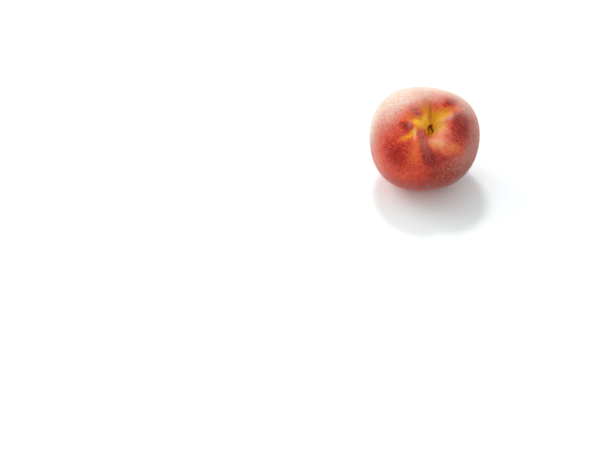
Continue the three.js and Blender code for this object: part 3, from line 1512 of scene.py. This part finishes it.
@dataclass
class PeachSkin:
    """The fruit's skin, which stands for the whole fruit."""

    form: FruitForm = field(default_factory=FruitForm)
    ball: Ball = field(default_factory=Ball)
    painting: SkinPainting = field(default_factory=SkinPainting)
    finish: SkinFinish = field(default_factory=SkinFinish)

    def build(self, low: Vector, high: Vector) -> tuple[bpy.types.Object, Lying]:
        """Makes the skin.

        Args:
            low: The lowest corner of the solid that it stands for.
            high: The highest corner of that solid.

        Returns:
            The piece, and where the fruit lies.
        """
        directions, quads, spots = self.ball.build()
        at = self.form.places(directions)
        points = directions * self.form.radius(at)[:, None]
        lying = lay_down(self.form, points, low, high)
        piece = new_piece("peach_skin", lying.down(points), quads.tolist(), self.finish.material())
        mesh = piece.data
        mesh.uv_layers.new(name="OFBake").uv.foreach_set("vector", spots.astype(np.float32).ravel())
        normals = np.zeros(len(mesh.vertices) * 3, dtype=np.float32)
        mesh.vertex_normals.foreach_get("vector", normals)
        write_values(mesh, self.painting.values(at, normals.reshape(-1, 3)))
        grain = mesh.attributes.new("grain", "FLOAT_VECTOR", "POINT")
        grain.data.foreach_set("vector", self.painting.grain(at).astype(np.float32).ravel())
        return piece, lying


class End(Enum):
    """The two ends of the fruit's axis: which way each faces along it."""

    STEM = 1.0
    TIP = -1.0


@dataclass(frozen=True)
class Crust:
    """A dry crust on one end of the fruit: a closed oval dome whose ragged edge is buried in the skin.

    Across and along are measured as on the skin, in millimetres, and out runs from 0 in the middle to 1 on
    the edge. The underside's middle is a few times as deep as the edge is buried.
    """

    form: FruitForm = field(default_factory=FruitForm)
    name: str = "crust"
    end: End = End.STEM
    half_width: float = 1.0
    half_length: float = 1.0
    shift_across: float = 0.0
    shift_along: float = 0.0
    slant: float = 0.0
    raggedness: float = 0.1
    ragged_length: float = 1.1
    buried: float = 0.35
    underside: float = 3.0
    rings: int = 26
    sides: int = 110
    seed: int = 21

    def lift(self, out: np.ndarray, azimuth: np.ndarray, spots: np.ndarray) -> np.ndarray:
        """Finds how high the crust stands over the skin.

        Args:
            out: How far out each point is.
            azimuth: Its azimuth.
            spots: Its distances across and along.

        Returns:
            The height at each point.
        """
        raise NotImplementedError

    def paleness(self, out: np.ndarray, azimuth: np.ndarray, spots: np.ndarray) -> np.ndarray:
        """Finds how pale the crust is.

        Args:
            out: How far out each point is.
            azimuth: Its azimuth.
            spots: Its distances across and along.

        Returns:
            The paleness at each point, from 0 to 1.
        """
        raise NotImplementedError

    def raised(self, spots: np.ndarray, lift: np.ndarray) -> np.ndarray:
        """Finds points over the skin.

        Args:
            spots: Distances across and along, one row each.
            lift: How high each point is over the skin.

        Returns:
            The points in the fruit's frame.
        """
        flat = spots[:, ::-1] / self.form.cheek_radius
        upright = self.end.value * np.sqrt(1.0 - (flat**2).sum(1))
        direction = np.column_stack([flat, upright])
        return direction * (self.form.radius(self.form.places(direction)) + lift)[:, None]

    def spots(self) -> tuple[np.ndarray, np.ndarray, np.ndarray]:
        """Lays out the crust's points.

        Returns:
            How far out each one is, its azimuth in degrees, and its distances across and along. The middle is
            the first point.
        """
        rings = np.arange(1, self.rings + 1) / self.rings
        turns = np.arange(self.sides) / self.sides * math.tau
        out, turn = np.meshgrid(rings, turns, indexing="ij")
        out, turn = np.append(0.0, out), np.append(0.0, turn)
        ring = np.stack([np.cos(turn), np.sin(turn)], axis=1)
        ragged = out * (1.0 + self.raggedness * hills(ring, self.ragged_length, self.seed))
        along = self.half_length * ragged * np.cos(turn)
        across = self.half_width * ragged * np.sin(turn) + self.slant * along
        spots = np.stack([self.shift_across + across, self.shift_along + along], axis=1)
        return out, np.degrees(turn), spots

    def faces(self) -> list[tuple[int, ...]]:
        """Joins the points into a closed dome.

        Returns:
            The corners of each face. The last point is the buried middle of the underside.
        """
        under = self.rings * self.sides + 1
        faces: list[tuple[int, ...]] = []
        for side in range(self.sides):
            after = (side + 1) % self.sides
            faces.append((0, 1 + side, 1 + after))
            for ring in range(self.rings - 1):
                inner, outer = 1 + ring * self.sides, 1 + (ring + 1) * self.sides
                faces.append((inner + side, outer + side, outer + after, inner + after))
            last = 1 + (self.rings - 1) * self.sides
            faces.append((last + after, last + side, under))
        return faces

    def build(self, lying: Lying, material: bpy.types.Material) -> bpy.types.Object:
        """Makes the crust.

        Args:
            lying: Where the fruit lies.
            material: What the crust is dressed in.

        Returns:
            The piece.
        """
        out, azimuth, spots = self.spots()
        top = self.raised(spots, self.lift(out, azimuth, spots))
        under = self.raised(spots[:1], np.array([-self.underside * self.buried]))
        faces = self.faces()
        if self.end is End.TIP:
            faces = [tuple(reversed(face)) for face in faces]
        piece = new_piece(self.name, lying.down(np.concatenate([top, under])), faces, material)
        paleness = np.append(self.paleness(out, azimuth, spots), 0.0)
        write_values(piece.data, {"paleness": paleness})
        return piece


@dataclass(frozen=True)
class StalkScar(Crust):
    """Where the stalk broke away: a corky raised rim round a torn middle that is sunk in the pit.

    The rim is dark on one side and straw-coloured on another, and a dark cleft runs along the middle. A tone
    is a part of the paleness, which runs from 0 to 1.
    """

    name: str = "stalk_scar"
    half_width: float = 3.6
    half_length: float = 6.0
    shift_across: float = -1.3
    shift_along: float = 1.0
    slant: float = -0.18
    crust_height: float = 0.08
    crumb_height: float = 0.06
    crumb_length: float = 0.45
    edge_fall: Reach = (0.84, 1.0)
    rim_out: float = 0.74
    rim_width: float = 0.15
    rim_height: float = 0.55
    rim_change: float = 0.45
    rim_change_length: float = 2.2
    rim_start: Reach = (0.46, 0.66)
    rim_tone: float = 0.50
    dark_azimuth: float = 145.0
    dark_reach: float = 85.0
    dark_tone: float = 0.42
    straw_azimuth: float = -80.0
    straw_reach: float = 45.0
    straw_tone: float = 0.36
    tears: float = 0.6
    tears_end: Reach = (0.45, 0.75)
    middle_tone: float = 0.60
    strand_tone: float = 0.30
    strand_length: float = 1.6
    strand_stretch: float = 0.22
    back_tone: float = 0.45
    back_reach: float = 3.0
    cleft_across: float = -1.8
    cleft_width: float = 0.6
    cleft_length: float = 4.5
    cleft_tone: float = 0.5
    squareness: float = 4.0
    skin_side: Reach = (0.80, 0.94)
    skin_side_tone: float = 0.72

    def strands(self, spots: np.ndarray) -> np.ndarray:
        """Finds the strands that the torn middle is made of, which are drawn out along the scar.

        Args:
            spots: Distances across and along, one row each.

        Returns:
            The pattern at each point, round 0.
        """
        return hills(spots * np.array([1.0, self.strand_stretch]), self.strand_length, self.seed + 1)

    def lift(self, out: np.ndarray, azimuth: np.ndarray, spots: np.ndarray) -> np.ndarray:
        """Finds how high the scar stands over the skin.

        Args:
            out: How far out each point is.
            azimuth: Its azimuth, which is not used.
            spots: Its distances across and along.

        Returns:
            The height of the rim and the torn middle, which run down under the skin at the edge.
        """
        uneven = 1.0 + self.rim_change * hills(spots, self.rim_change_length, self.seed)
        rim = self.rim_height * bell(out - self.rim_out, self.rim_width) * uneven
        torn = self.tears * (1.0 - ease(out, *self.tears_end)) * (0.5 + 0.5 * self.strands(spots))
        crumbs = self.crumb_height * hills(spots, self.crumb_length, self.seed + 2)
        fall = (self.buried + self.crust_height) * ease(out, *self.edge_fall)
        return self.crust_height + rim + torn + crumbs - fall

    def paleness(self, out: np.ndarray, azimuth: np.ndarray, spots: np.ndarray) -> np.ndarray:
        """Finds how pale the scar is.

        Args:
            out: How far out each point is.
            azimuth: Its azimuth.
            spots: Its distances across and along.

        Returns:
            The paleness: a rim that is brown at the back and on the right and straw-coloured on the left,
            round an orange-brown middle with a brown cleft down its left side.
        """
        across, along = spots[:, 0] - self.shift_across, spots[:, 1] - self.shift_along
        back = self.back_tone * ease(-along, 0.0, self.back_reach)
        middle = self.middle_tone + self.strand_tone * self.strands(spots) - back
        straw = bell(turn_between(azimuth, self.straw_azimuth), self.straw_reach)
        dark = bell(turn_between(azimuth, self.dark_azimuth), self.dark_reach, self.squareness)
        ring = self.rim_tone + self.straw_tone * straw - self.dark_tone * dark
        cleft = bell(across - self.cleft_across, self.cleft_width)
        cleft = cleft * bell(along, self.cleft_length, self.squareness)
        share = ease(out, *self.rim_start)
        inner = middle * (1.0 - share) + ring * share - self.cleft_tone * cleft
        skin_side = ease(out, *self.skin_side)
        return inner * (1.0 - skin_side) + self.skin_side_tone * skin_side


@dataclass(frozen=True)
class StylePoint(Crust):
    """What is left of the flower at the blossom end: a small dry brown point."""

    name: str = "style_point"
    end: End = End.TIP
    half_width: float = 0.75
    half_length: float = 0.65
    height: float = 1.0
    taper: float = 0.7
    lumps: float = 0.2
    lump_length: float = 0.4
    edge_sharpness: float = 4.0
    edge_tone: float = 0.5
    tone_change: float = 0.2
    tone_length: float = 0.5
    rings: int = 16
    sides: int = 40

    def lift(self, out: np.ndarray, azimuth: np.ndarray, spots: np.ndarray) -> np.ndarray:
        """Finds how high the point stands over the skin.

        Args:
            out: How far out each part of it is.
            azimuth: Its azimuth, which is not used.
            spots: Its distances across and along.

        Returns:
            The height at each part.
        """
        uneven = 1.0 + self.lumps * hills(spots, self.lump_length, self.seed)
        return self.height * (1.0 - out**self.taper) * uneven - self.buried * out**self.edge_sharpness

    def paleness(self, out: np.ndarray, azimuth: np.ndarray, spots: np.ndarray) -> np.ndarray:
        """Finds how pale the point is.

        Args:
            out: How far out each part of it is.
            azimuth: Its azimuth, which is not used.
            spots: Its distances across and along.

        Returns:
            The paleness at each part, which is darkest at the top.
        """
        return self.edge_tone * out + self.tone_change * hills(spots, self.tone_length, self.seed + 1)


@dataclass(frozen=True)
class TornFibres:
    """The short torn fibres that stand in the stalk's scar, as thin tapering blades that bend over."""

    scar: StalkScar = field(default_factory=StalkScar)
    name: str = "torn_fibres"
    count: int = 14
    length: float = 1.1
    lengths: Reach = (0.5, 1.2)
    thickness: float = 0.26
    flatness: float = 0.5
    taper: float = 0.7
    bend: float = 0.6
    droop: float = 0.25
    tones: Reach = (0.35, 1.0)
    steps: int = 6
    sides: int = 5
    spread: float = 0.5
    nearest: float = 0.05
    root_depth: float = 0.1
    seed: int = 33

    def blade(self, root: np.ndarray, heading: np.ndarray, length: float) -> np.ndarray:
        """Finds one blade's points.

        Args:
            root: Where it grows.
            heading: Which way it bends, in the fruit's frame.
            length: How long it is.

        Returns:
            The points, ring by ring, and the tip last.
        """
        up = np.array([0.0, 0.0, 1.0])
        side = np.cross(up, heading)
        rows = []
        for step in np.linspace(0.0, 1.0, self.steps, endpoint=False):
            rise = up * (step - self.droop * step**2)
            middle = root + length * (rise + heading * self.bend * step**2)
            size = self.thickness / 2.0 * (1.0 - step) ** self.taper
            for turn in np.arange(self.sides) / self.sides * math.tau:
                flat = self.flatness * heading * math.sin(turn)
                rows.append(middle + size * (side * math.cos(turn) + flat))
        rows.append(root + length * ((1.0 - self.droop) * up + self.bend * heading))
        return np.array(rows)

    def blade_faces(self, first: int) -> list[tuple[int, ...]]:
        """Joins one blade's points.

        Args:
            first: The number of the blade's first point.

        Returns:
            The corners of each face.
        """
        faces: list[tuple[int, ...]] = [tuple(first + side for side in reversed(range(self.sides)))]
        tip = first + self.steps * self.sides
        for side in range(self.sides):
            after = (side + 1) % self.sides
            for step in range(self.steps - 1):
                low, high = first + step * self.sides, first + (step + 1) * self.sides
                faces.append((low + side, low + after, high + after, high + side))
            last = tip - self.sides
            faces.append((last + side, last + after, tip))
        return faces

    def build(self, lying: Lying, material: bpy.types.Material) -> bpy.types.Object:
        """Makes the fibres.

        Args:
            lying: Where the fruit lies.
            material: What they are dressed in.

        Returns:
            The piece.
        """
        draw = np.random.default_rng(self.seed)
        points: list[np.ndarray] = []
        faces: list[tuple[int, ...]] = []
        paleness: list[np.ndarray] = []
        for number in range(self.count):
            turn = draw.uniform(0.0, math.tau)
            out = self.spread * math.sqrt(draw.uniform(self.nearest, 1.0))
            across = self.scar.shift_across + self.scar.half_width * out * math.sin(turn)
            along = self.scar.shift_along + self.scar.half_length * out * math.cos(turn)
            root = self.scar.raised(np.array([[across, along]]), np.array([-self.root_depth]))[0]
            bend = draw.uniform(0.0, math.tau)
            heading = np.array([math.cos(bend), math.sin(bend), 0.0])
            blade = self.blade(root, heading, self.length * draw.uniform(*self.lengths))
            faces += self.blade_faces(number * len(blade))
            points.append(blade)
            paleness.append(np.full(len(blade), draw.uniform(*self.tones)))
        piece = new_piece(self.name, lying.down(np.concatenate(points)), faces, material)
        write_values(piece.data, {"paleness": np.concatenate(paleness)})
        return piece


@dataclass(frozen=True)
class DownLayer:
    """One layer of the skin's down: short tapered hairs that lean every way, between two polar angles.

    Each hair is a cone with a few sides and a base. The hairs keep clear of the table.
    """

    name: str
    hairs: int
    length: float
    thickness: float
    lean: float
    seed: int
    polar_from: float
    polar_to: float
    clearance: float = 1.2
    shortest: float = 0.55
    longest: float = 1.3
    hair_sides: int = 3
    map_margin: float = 0.15

    def sizes(self) -> dict[str, float | int]:
        """Lists the sizes that the tree takes.

        Returns:
            The tree's inputs by name, with lengths in metres.
        """
        return {
            "Hairs": float(self.hairs),
            "Length": self.length * MM,
            "Thickness": self.thickness * MM,
            "Lean": self.lean,
            "Polar From": self.polar_from,
            "Polar To": self.polar_to,
            "Clearance": self.clearance * MM,
            "Shortest": self.shortest,
            "Longest": self.longest,
            "Seed": self.seed,
        }

    def tree(self, material: bpy.types.Material) -> bpy.types.NodeTree:
        """Builds the node tree that grows the hairs.

        Args:
            material: What the hairs are dressed in.

        Returns:
            The tree, with named inputs for its sizes.
        """
        tree = bpy.data.node_groups.new(f"grow_{self.name}", "GeometryNodeTree")
        tree.interface.new_socket("Skin", in_out="INPUT", socket_type="NodeSocketGeometry")
        for name, value in self.sizes().items():
            kind = "NodeSocketInt" if isinstance(value, int) else "NodeSocketFloat"
            tree.interface.new_socket(name, in_out="INPUT", socket_type=kind)
        tree.interface.new_socket("Down", in_out="OUTPUT", socket_type="NodeSocketGeometry")
        desk = Desk(tree)
        given = desk.put("NodeGroupInput").outputs
        wanted = desk.put("NodeGroupOutput").inputs
        roots = self.roots(desk, given, self.growing(desk, given))
        planted = self.planted(desk, given, roots)
        real = desk.put("GeometryNodeRealizeInstances")
        desk.feed(real.inputs["Geometry"], planted)
        dress = desk.put("GeometryNodeSetMaterial")
        dress.inputs["Material"].default_value = material
        desk.feed(dress.inputs["Geometry"], real.outputs["Geometry"])
        desk.feed(wanted["Down"], dress.outputs["Geometry"])
        return tree

    def growing(self, desk: Desk, given: bpy.types.NodeOutputs) -> bpy.types.NodeSocket:
        """Builds the test for where hairs grow: between the two polar angles, and clear of the table.

        Args:
            desk: The tree's desk.
            given: The tree's inputs, by name.

        Returns:
            1 where they grow and 0 elsewhere.
        """
        polar = desk.put("GeometryNodeInputNamedAttribute", data_type="FLOAT")
        polar.inputs["Name"].default_value = "polar"
        place = desk.put("ShaderNodeSeparateXYZ")
        desk.feed(place.inputs["Vector"], desk.put("GeometryNodeInputPosition").outputs["Position"])
        tests = (
            (polar.outputs["Attribute"], "GREATER_EQUAL", "Polar From"),
            (polar.outputs["Attribute"], "LESS_THAN", "Polar To"),
            (place.outputs["Z"], "GREATER_THAN", "Clearance"),
        )
        inside: Source = 1.0
        for value, operation, limit in tests:
            compare = desk.put("FunctionNodeCompare", data_type="FLOAT", operation=operation)
            desk.feed(compare.inputs["A"], value)
            desk.feed(compare.inputs["B"], given[limit])
            inside = desk.maths("MULTIPLY", inside, compare.outputs["Result"])
        return inside

    def roots(
        self, desk: Desk, given: bpy.types.NodeOutputs, growing: bpy.types.NodeSocket
    ) -> bpy.types.Node:
        """Builds the scatter of the hairs' roots, so that the wanted count falls on the growing skin.

        Args:
            desk: The tree's desk.
            given: The tree's inputs, by name.
            growing: 1 where hairs grow.

        Returns:
            The scatter's node.
        """
        face_area = desk.put("GeometryNodeInputMeshFaceArea").outputs[0]
        area = desk.put("GeometryNodeAttributeStatistic", domain="FACE", data_type="FLOAT")
        desk.feed(area.inputs["Geometry"], given["Skin"])
        desk.feed(area.inputs["Attribute"], desk.maths("MULTIPLY", face_area, growing))
        density = desk.maths("DIVIDE", given["Hairs"], area.outputs["Sum"])
        scatter = desk.put("GeometryNodeDistributePointsOnFaces", distribute_method="RANDOM")
        desk.feed(scatter.inputs["Mesh"], given["Skin"])
        desk.feed(scatter.inputs["Density"], desk.maths("MULTIPLY", density, growing))
        desk.feed(scatter.inputs["Seed"], given["Seed"])
        return scatter

    def planted(
        self, desk: Desk, given: bpy.types.NodeOutputs, roots: bpy.types.Node
    ) -> bpy.types.NodeSocket:
        """Builds the hairs: a thin cone for each root, turned its own way and with its own length.

        Args:
            desk: The tree's desk.
            given: The tree's inputs, by name.
            roots: The scatter's node.

        Returns:
            The hairs, as instances.
        """
        hair = desk.put("GeometryNodeMeshCone", fill_type="NGON")
        hair.inputs["Vertices"].default_value = self.hair_sides
        hair.inputs["Radius Top"].default_value = 0.0
        desk.feed(hair.inputs["Radius Bottom"], desk.maths("MULTIPLY", given["Thickness"], 0.5))
        desk.feed(hair.inputs["Depth"], given["Length"])
        away = desk.put("FunctionNodeRandomValue", data_type="FLOAT_VECTOR")
        away.inputs["Min"].default_value = (-1.0, -1.0, -1.0)
        away.inputs["Max"].default_value = (1.0, 1.0, 1.0)
        desk.feed(away.inputs["Seed"], given["Seed"])
        leaning = desk.vectors("SCALE", away.outputs["Value"], scale=given["Lean"])
        aim = desk.put("FunctionNodeAlignRotationToVector", axis="Z")
        desk.feed(aim.inputs["Vector"], desk.vectors("ADD", roots.outputs["Normal"], leaning))
        # The node has sockets of the same names for every type of value, and these are the plain numbers'
        size = desk.put("FunctionNodeRandomValue", data_type="FLOAT")
        desk.feed(size.inputs[2], given["Shortest"])
        desk.feed(size.inputs[3], given["Longest"])
        desk.feed(size.inputs["Seed"], desk.maths("ADD", given["Seed"], 1.0))
        plant = desk.put("GeometryNodeInstanceOnPoints")
        desk.feed(plant.inputs["Points"], roots.outputs["Points"])
        desk.feed(plant.inputs["Instance"], hair.outputs["Mesh"])
        desk.feed(plant.inputs["Rotation"], aim.outputs["Rotation"])
        desk.feed(plant.inputs["Scale"], size.outputs[1])
        return plant.outputs["Instances"]

    def build(self, skin: bpy.types.Object, material: bpy.types.Material) -> bpy.types.Object:
        """Grows the hairs on a skin.

        Args:
            skin: The piece that they grow on, which isn't changed.
            material: What they are dressed in.

        Returns:
            The layer as a plain mesh.
        """
        grower = skin.modifiers.new("grow", "NODES")
        grower.node_group = self.tree(material)
        values = self.sizes()
        for item in grower.node_group.interface.items_tree:
            if item.in_out == "INPUT" and item.name in values:
                grower[item.identifier] = values[item.name]
        bpy.context.view_layer.update()
        evaluated = skin.evaluated_get(bpy.context.evaluated_depsgraph_get())
        mesh = bpy.data.meshes.new_from_object(evaluated)
        mesh.name = self.name
        skin.modifiers.remove(grower)
        bpy.context.view_layer.update()
        self.lay_out(mesh)
        piece = bpy.data.objects.new(self.name, mesh)
        bpy.context.scene.collection.objects.link(piece)
        return piece

    def lay_out(self, mesh: bpy.types.Mesh) -> None:
        """Gives each hair its own small square of the flat map.

        Args:
            mesh: The hairs, each with a triangle for each side and one for the base.
        """
        corners = len(mesh.loops)
        each = 3 * (self.hair_sides + 1)
        hair = np.arange(corners) // each
        cells = math.ceil(math.sqrt(corners / each))
        corner = np.arange(corners) % 3
        low, high = self.map_margin, 1.0 - self.map_margin
        first, second = np.choose(corner, (low, high, 0.5)), np.choose(corner, (low, low, high))
        spots = np.stack([hair % cells + first, hair // cells + second], axis=1) / cells
        layer = mesh.uv_layers.get("OFBake") or mesh.uv_layers.new(name="OFBake")
        layer.uv.foreach_set("vector", spots.astype(np.float32).ravel())


# ---------------------------------------------------------------- studio


@dataclass(frozen=True)
class Lamp:
    """A square soft lamp: which way it hangs from the fruit, how far, how wide, and its power in watts."""

    name: str
    direction: tuple[float, float, float]
    distance: float
    size: float
    power: float

    def hang(self, toward: Vector) -> None:
        """Hangs the lamp.

        Args:
            toward: The point that it lights.
        """
        light = bpy.data.lights.new(self.name, "AREA")
        light.shape = "SQUARE"
        light.size = self.size
        light.energy = self.power
        lamp = bpy.data.objects.new(self.name, light)
        lamp.location = toward + Vector(self.direction).normalized() * self.distance
        lamp.rotation_euler = (toward - lamp.location).to_track_quat("-Z", "Y").to_euler()
        bpy.context.scene.collection.objects.link(lamp)


@dataclass(frozen=True)
class Studio:
    """The table, the lamps and the camera.

    Lengths are in metres, except the sensor's, which is in millimetres. The frame, the fruit's place and
    width in it, and the focal length are in pixels.
    """

    lamps: tuple[Lamp, ...] = (
        Lamp("key", (-0.08, 0.52, 0.84), distance=1.2, size=0.22, power=6.2),
        Lamp("side", (-0.75, 0.35, 0.60), distance=1.2, size=0.80, power=5.4),
    )
    frame_wide: float = 600.0
    frame_high: float = 450.0
    fruit_x: float = 425.0
    fruit_y: float = 139.6
    fruit_across: float = 109.5
    fruit_width: float = 0.072
    pitch: float = 39.0
    focal: float = 1700.0
    sensor: float = 36.0
    clip_end: float = 20.0
    floor_half: float = 4.0
    glow_from: float = 0.25
    glow_to: float = 0.75
    floor_dark: Colour = (0.815, 0.88, 0.885)
    floor_pale: Colour = (0.835, 0.90, 0.905)
    floor_clouds: float = 3.0
    floor_roughness: float = 0.9
    floor_gloss: float = 0.1
    near_glow: float = 0.07
    far_glow: float = 0.4
    soft_light: float = 0.78
    soft_change: float = 0.3
    soft_side: tuple[float, float, float] = (-0.85, 0.42, 0.30)
    background_white: float = 1.0

    def floor(self) -> bpy.types.Object:
        """Makes a plain pale table top, which isn't part of the object.

        Returns:
            The table top.
        """
        half = self.floor_half
        mesh = bpy.data.meshes.new("floor")
        corners = [(-half, -half, 0), (half, -half, 0), (half, half, 0), (-half, half, 0)]
        mesh.from_pydata(corners, [], [(0, 1, 2, 3)])
        mesh.materials.append(self.floor_material())
        floor = bpy.data.objects.new("floor", mesh)
        bpy.context.scene.collection.objects.link(floor)
        return floor

    def floor_material(self) -> bpy.types.Material:
        """Builds the table top's material, which glows far from the lamps so that it stays white to its edge.

        Returns:
            The material.
        """
        material, desk, shader = new_material("floor")
        place = desk.put("ShaderNodeTexCoord").outputs["Object"]
        cloud = desk.noise(place, self.floor_clouds, detail=1.0)
        colour = desk.blend(cloud, (*self.floor_dark, 1.0), (*self.floor_pale, 1.0))
        desk.feed(shader.inputs["Base Color"], colour)
        near = desk.put("ShaderNodeTexGradient", gradient_type="SPHERICAL")
        desk.feed(near.inputs["Vector"], place)
        far = desk.step(near.outputs["Fac"], 1.0 - self.glow_to, 1.0 - self.glow_from, 1.0, 0.0)
        glow = (self.far_glow, self.far_glow, self.far_glow, 1.0)
        dim = (self.near_glow, self.near_glow, self.near_glow, 1.0)
        desk.feed(shader.inputs["Emission Color"], desk.blend(far, dim, glow))
        shader.inputs["Emission Strength"].default_value = 1.0
        shader.inputs["Roughness"].default_value = self.floor_roughness
        shader.inputs["Specular IOR Level"].default_value = self.floor_gloss
        return material

    def surroundings(self) -> None:
        """Sets soft white light from all round, stronger from one side, before a plain white background."""
        world = bpy.data.worlds.new("studio")
        world.use_nodes = True
        desk = Desk(world.node_tree)
        background = world.node_tree.nodes["Background"]
        background.inputs["Color"].default_value = (1.0, 1.0, 1.0, 1.0)
        seen = desk.put("ShaderNodeLightPath").outputs["Is Camera Ray"]
        heading = desk.put("ShaderNodeTexCoord").outputs["Generated"]
        toward = desk.vectors("DOT_PRODUCT", heading, self.soft_side, out="Value")
        light = desk.maths("MULTIPLY_ADD", toward, self.soft_light * self.soft_change, third=self.soft_light)
        extra = desk.maths("MULTIPLY", seen, desk.maths("SUBTRACT", self.background_white, light))
        desk.feed(background.inputs["Strength"], desk.maths("ADD", extra, light))
        bpy.context.scene.world = world

    def camera(self, centre: Vector) -> None:
        """Sets up the camera so that the fruit's middle falls at its place in the frame.

        Args:
            centre: The fruit's middle.
        """
        data = bpy.data.cameras.new("camera")
        data.sensor_width = self.sensor
        data.lens = self.focal / self.frame_wide * self.sensor
        data.clip_end = self.clip_end
        pitch = math.radians(self.pitch)
        ahead = Vector((0.0, math.cos(pitch), -math.sin(pitch)))
        up = Vector((0.0, math.sin(pitch), math.cos(pitch)))
        right = Vector((1.0, 0.0, 0.0))
        ray = ahead * self.focal + right * (self.fruit_x - self.frame_wide / 2)
        ray += up * (self.frame_high / 2 - self.fruit_y)
        camera = bpy.data.objects.new("camera", data)
        camera.location = centre - ray * (self.fruit_width / self.fruit_across)
        camera.rotation_euler = ahead.to_track_quat("-Z", "Y").to_euler()
        bpy.context.scene.collection.objects.link(camera)
        bpy.context.scene.camera = camera

    def build(self, centre: Vector) -> None:
        """Sets the whole studio round the fruit.

        Args:
            centre: The fruit's middle.
        """
        self.floor()
        self.surroundings()
        for lamp in self.lamps:
            lamp.hang(centre)
        self.camera(centre)
        bpy.context.scene.view_settings.view_transform = "Standard"


# ---------------------------------------------------------------- main


def deviation(piece: bpy.types.Object, node: bpy.types.Object) -> float:
    """Measures how far a CAD solid's corners are from a piece's surface.

    Args:
        piece: The piece.
        node: The solid.

    Returns:
        The furthest distance, in millimetres.
    """
    tree = BVHTree.FromObject(piece, bpy.context.evaluated_depsgraph_get())
    return max(tree.find_nearest(vertex.co)[3] for vertex in node.data.vertices) / MM


def report(piece: bpy.types.Object) -> None:
    """Logs how many faces a piece has.

    Args:
        piece: The piece.
    """
    LOG.info("%s: %d faces", piece.name, len(piece.data.polygons))


def settle(piece: bpy.types.Object) -> None:
    """Fixes a finished piece to the fruit's body, and logs its faces.

    Args:
        piece: The piece.
    """
    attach(piece, BODY)
    report(piece)


def main() -> None:
    """Builds the fruit, its dry ends, its down and the studio."""
    logging.basicConfig(level=logging.INFO, format="%(name)s: %(message)s")
    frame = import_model()
    skin, lying = PeachSkin().build(*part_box("peach"))
    LOG.info("the skin is within %.3f mm of the solid", deviation(skin, frame["nodes"]["peach"]))
    settle(skin)
    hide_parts("peach")
    cork = CorkFinish().material()
    for part in (StalkScar(), TornFibres(), StylePoint()):
        settle(part.build(lying, cork))
    down = DownFinish().material()
    layers = (
        DownLayer("short_down_stem_end", 48000, 0.45, 0.022, 0.55, seed=3, polar_from=9.0, polar_to=90.0),
        DownLayer("short_down_tip_end", 48000, 0.45, 0.022, 0.55, seed=4, polar_from=90.0, polar_to=178.0),
        DownLayer("long_down_stem_end", 48000, 0.85, 0.018, 0.45, seed=5, polar_from=11.0, polar_to=90.0),
        DownLayer("long_down_tip_end", 48000, 0.85, 0.018, 0.45, seed=6, polar_from=90.0, polar_to=178.0),
    )
    for layer in layers:
        settle(layer.build(skin, down))
    Studio().build(lying.centre())


if __name__ == "__main__":
    main()
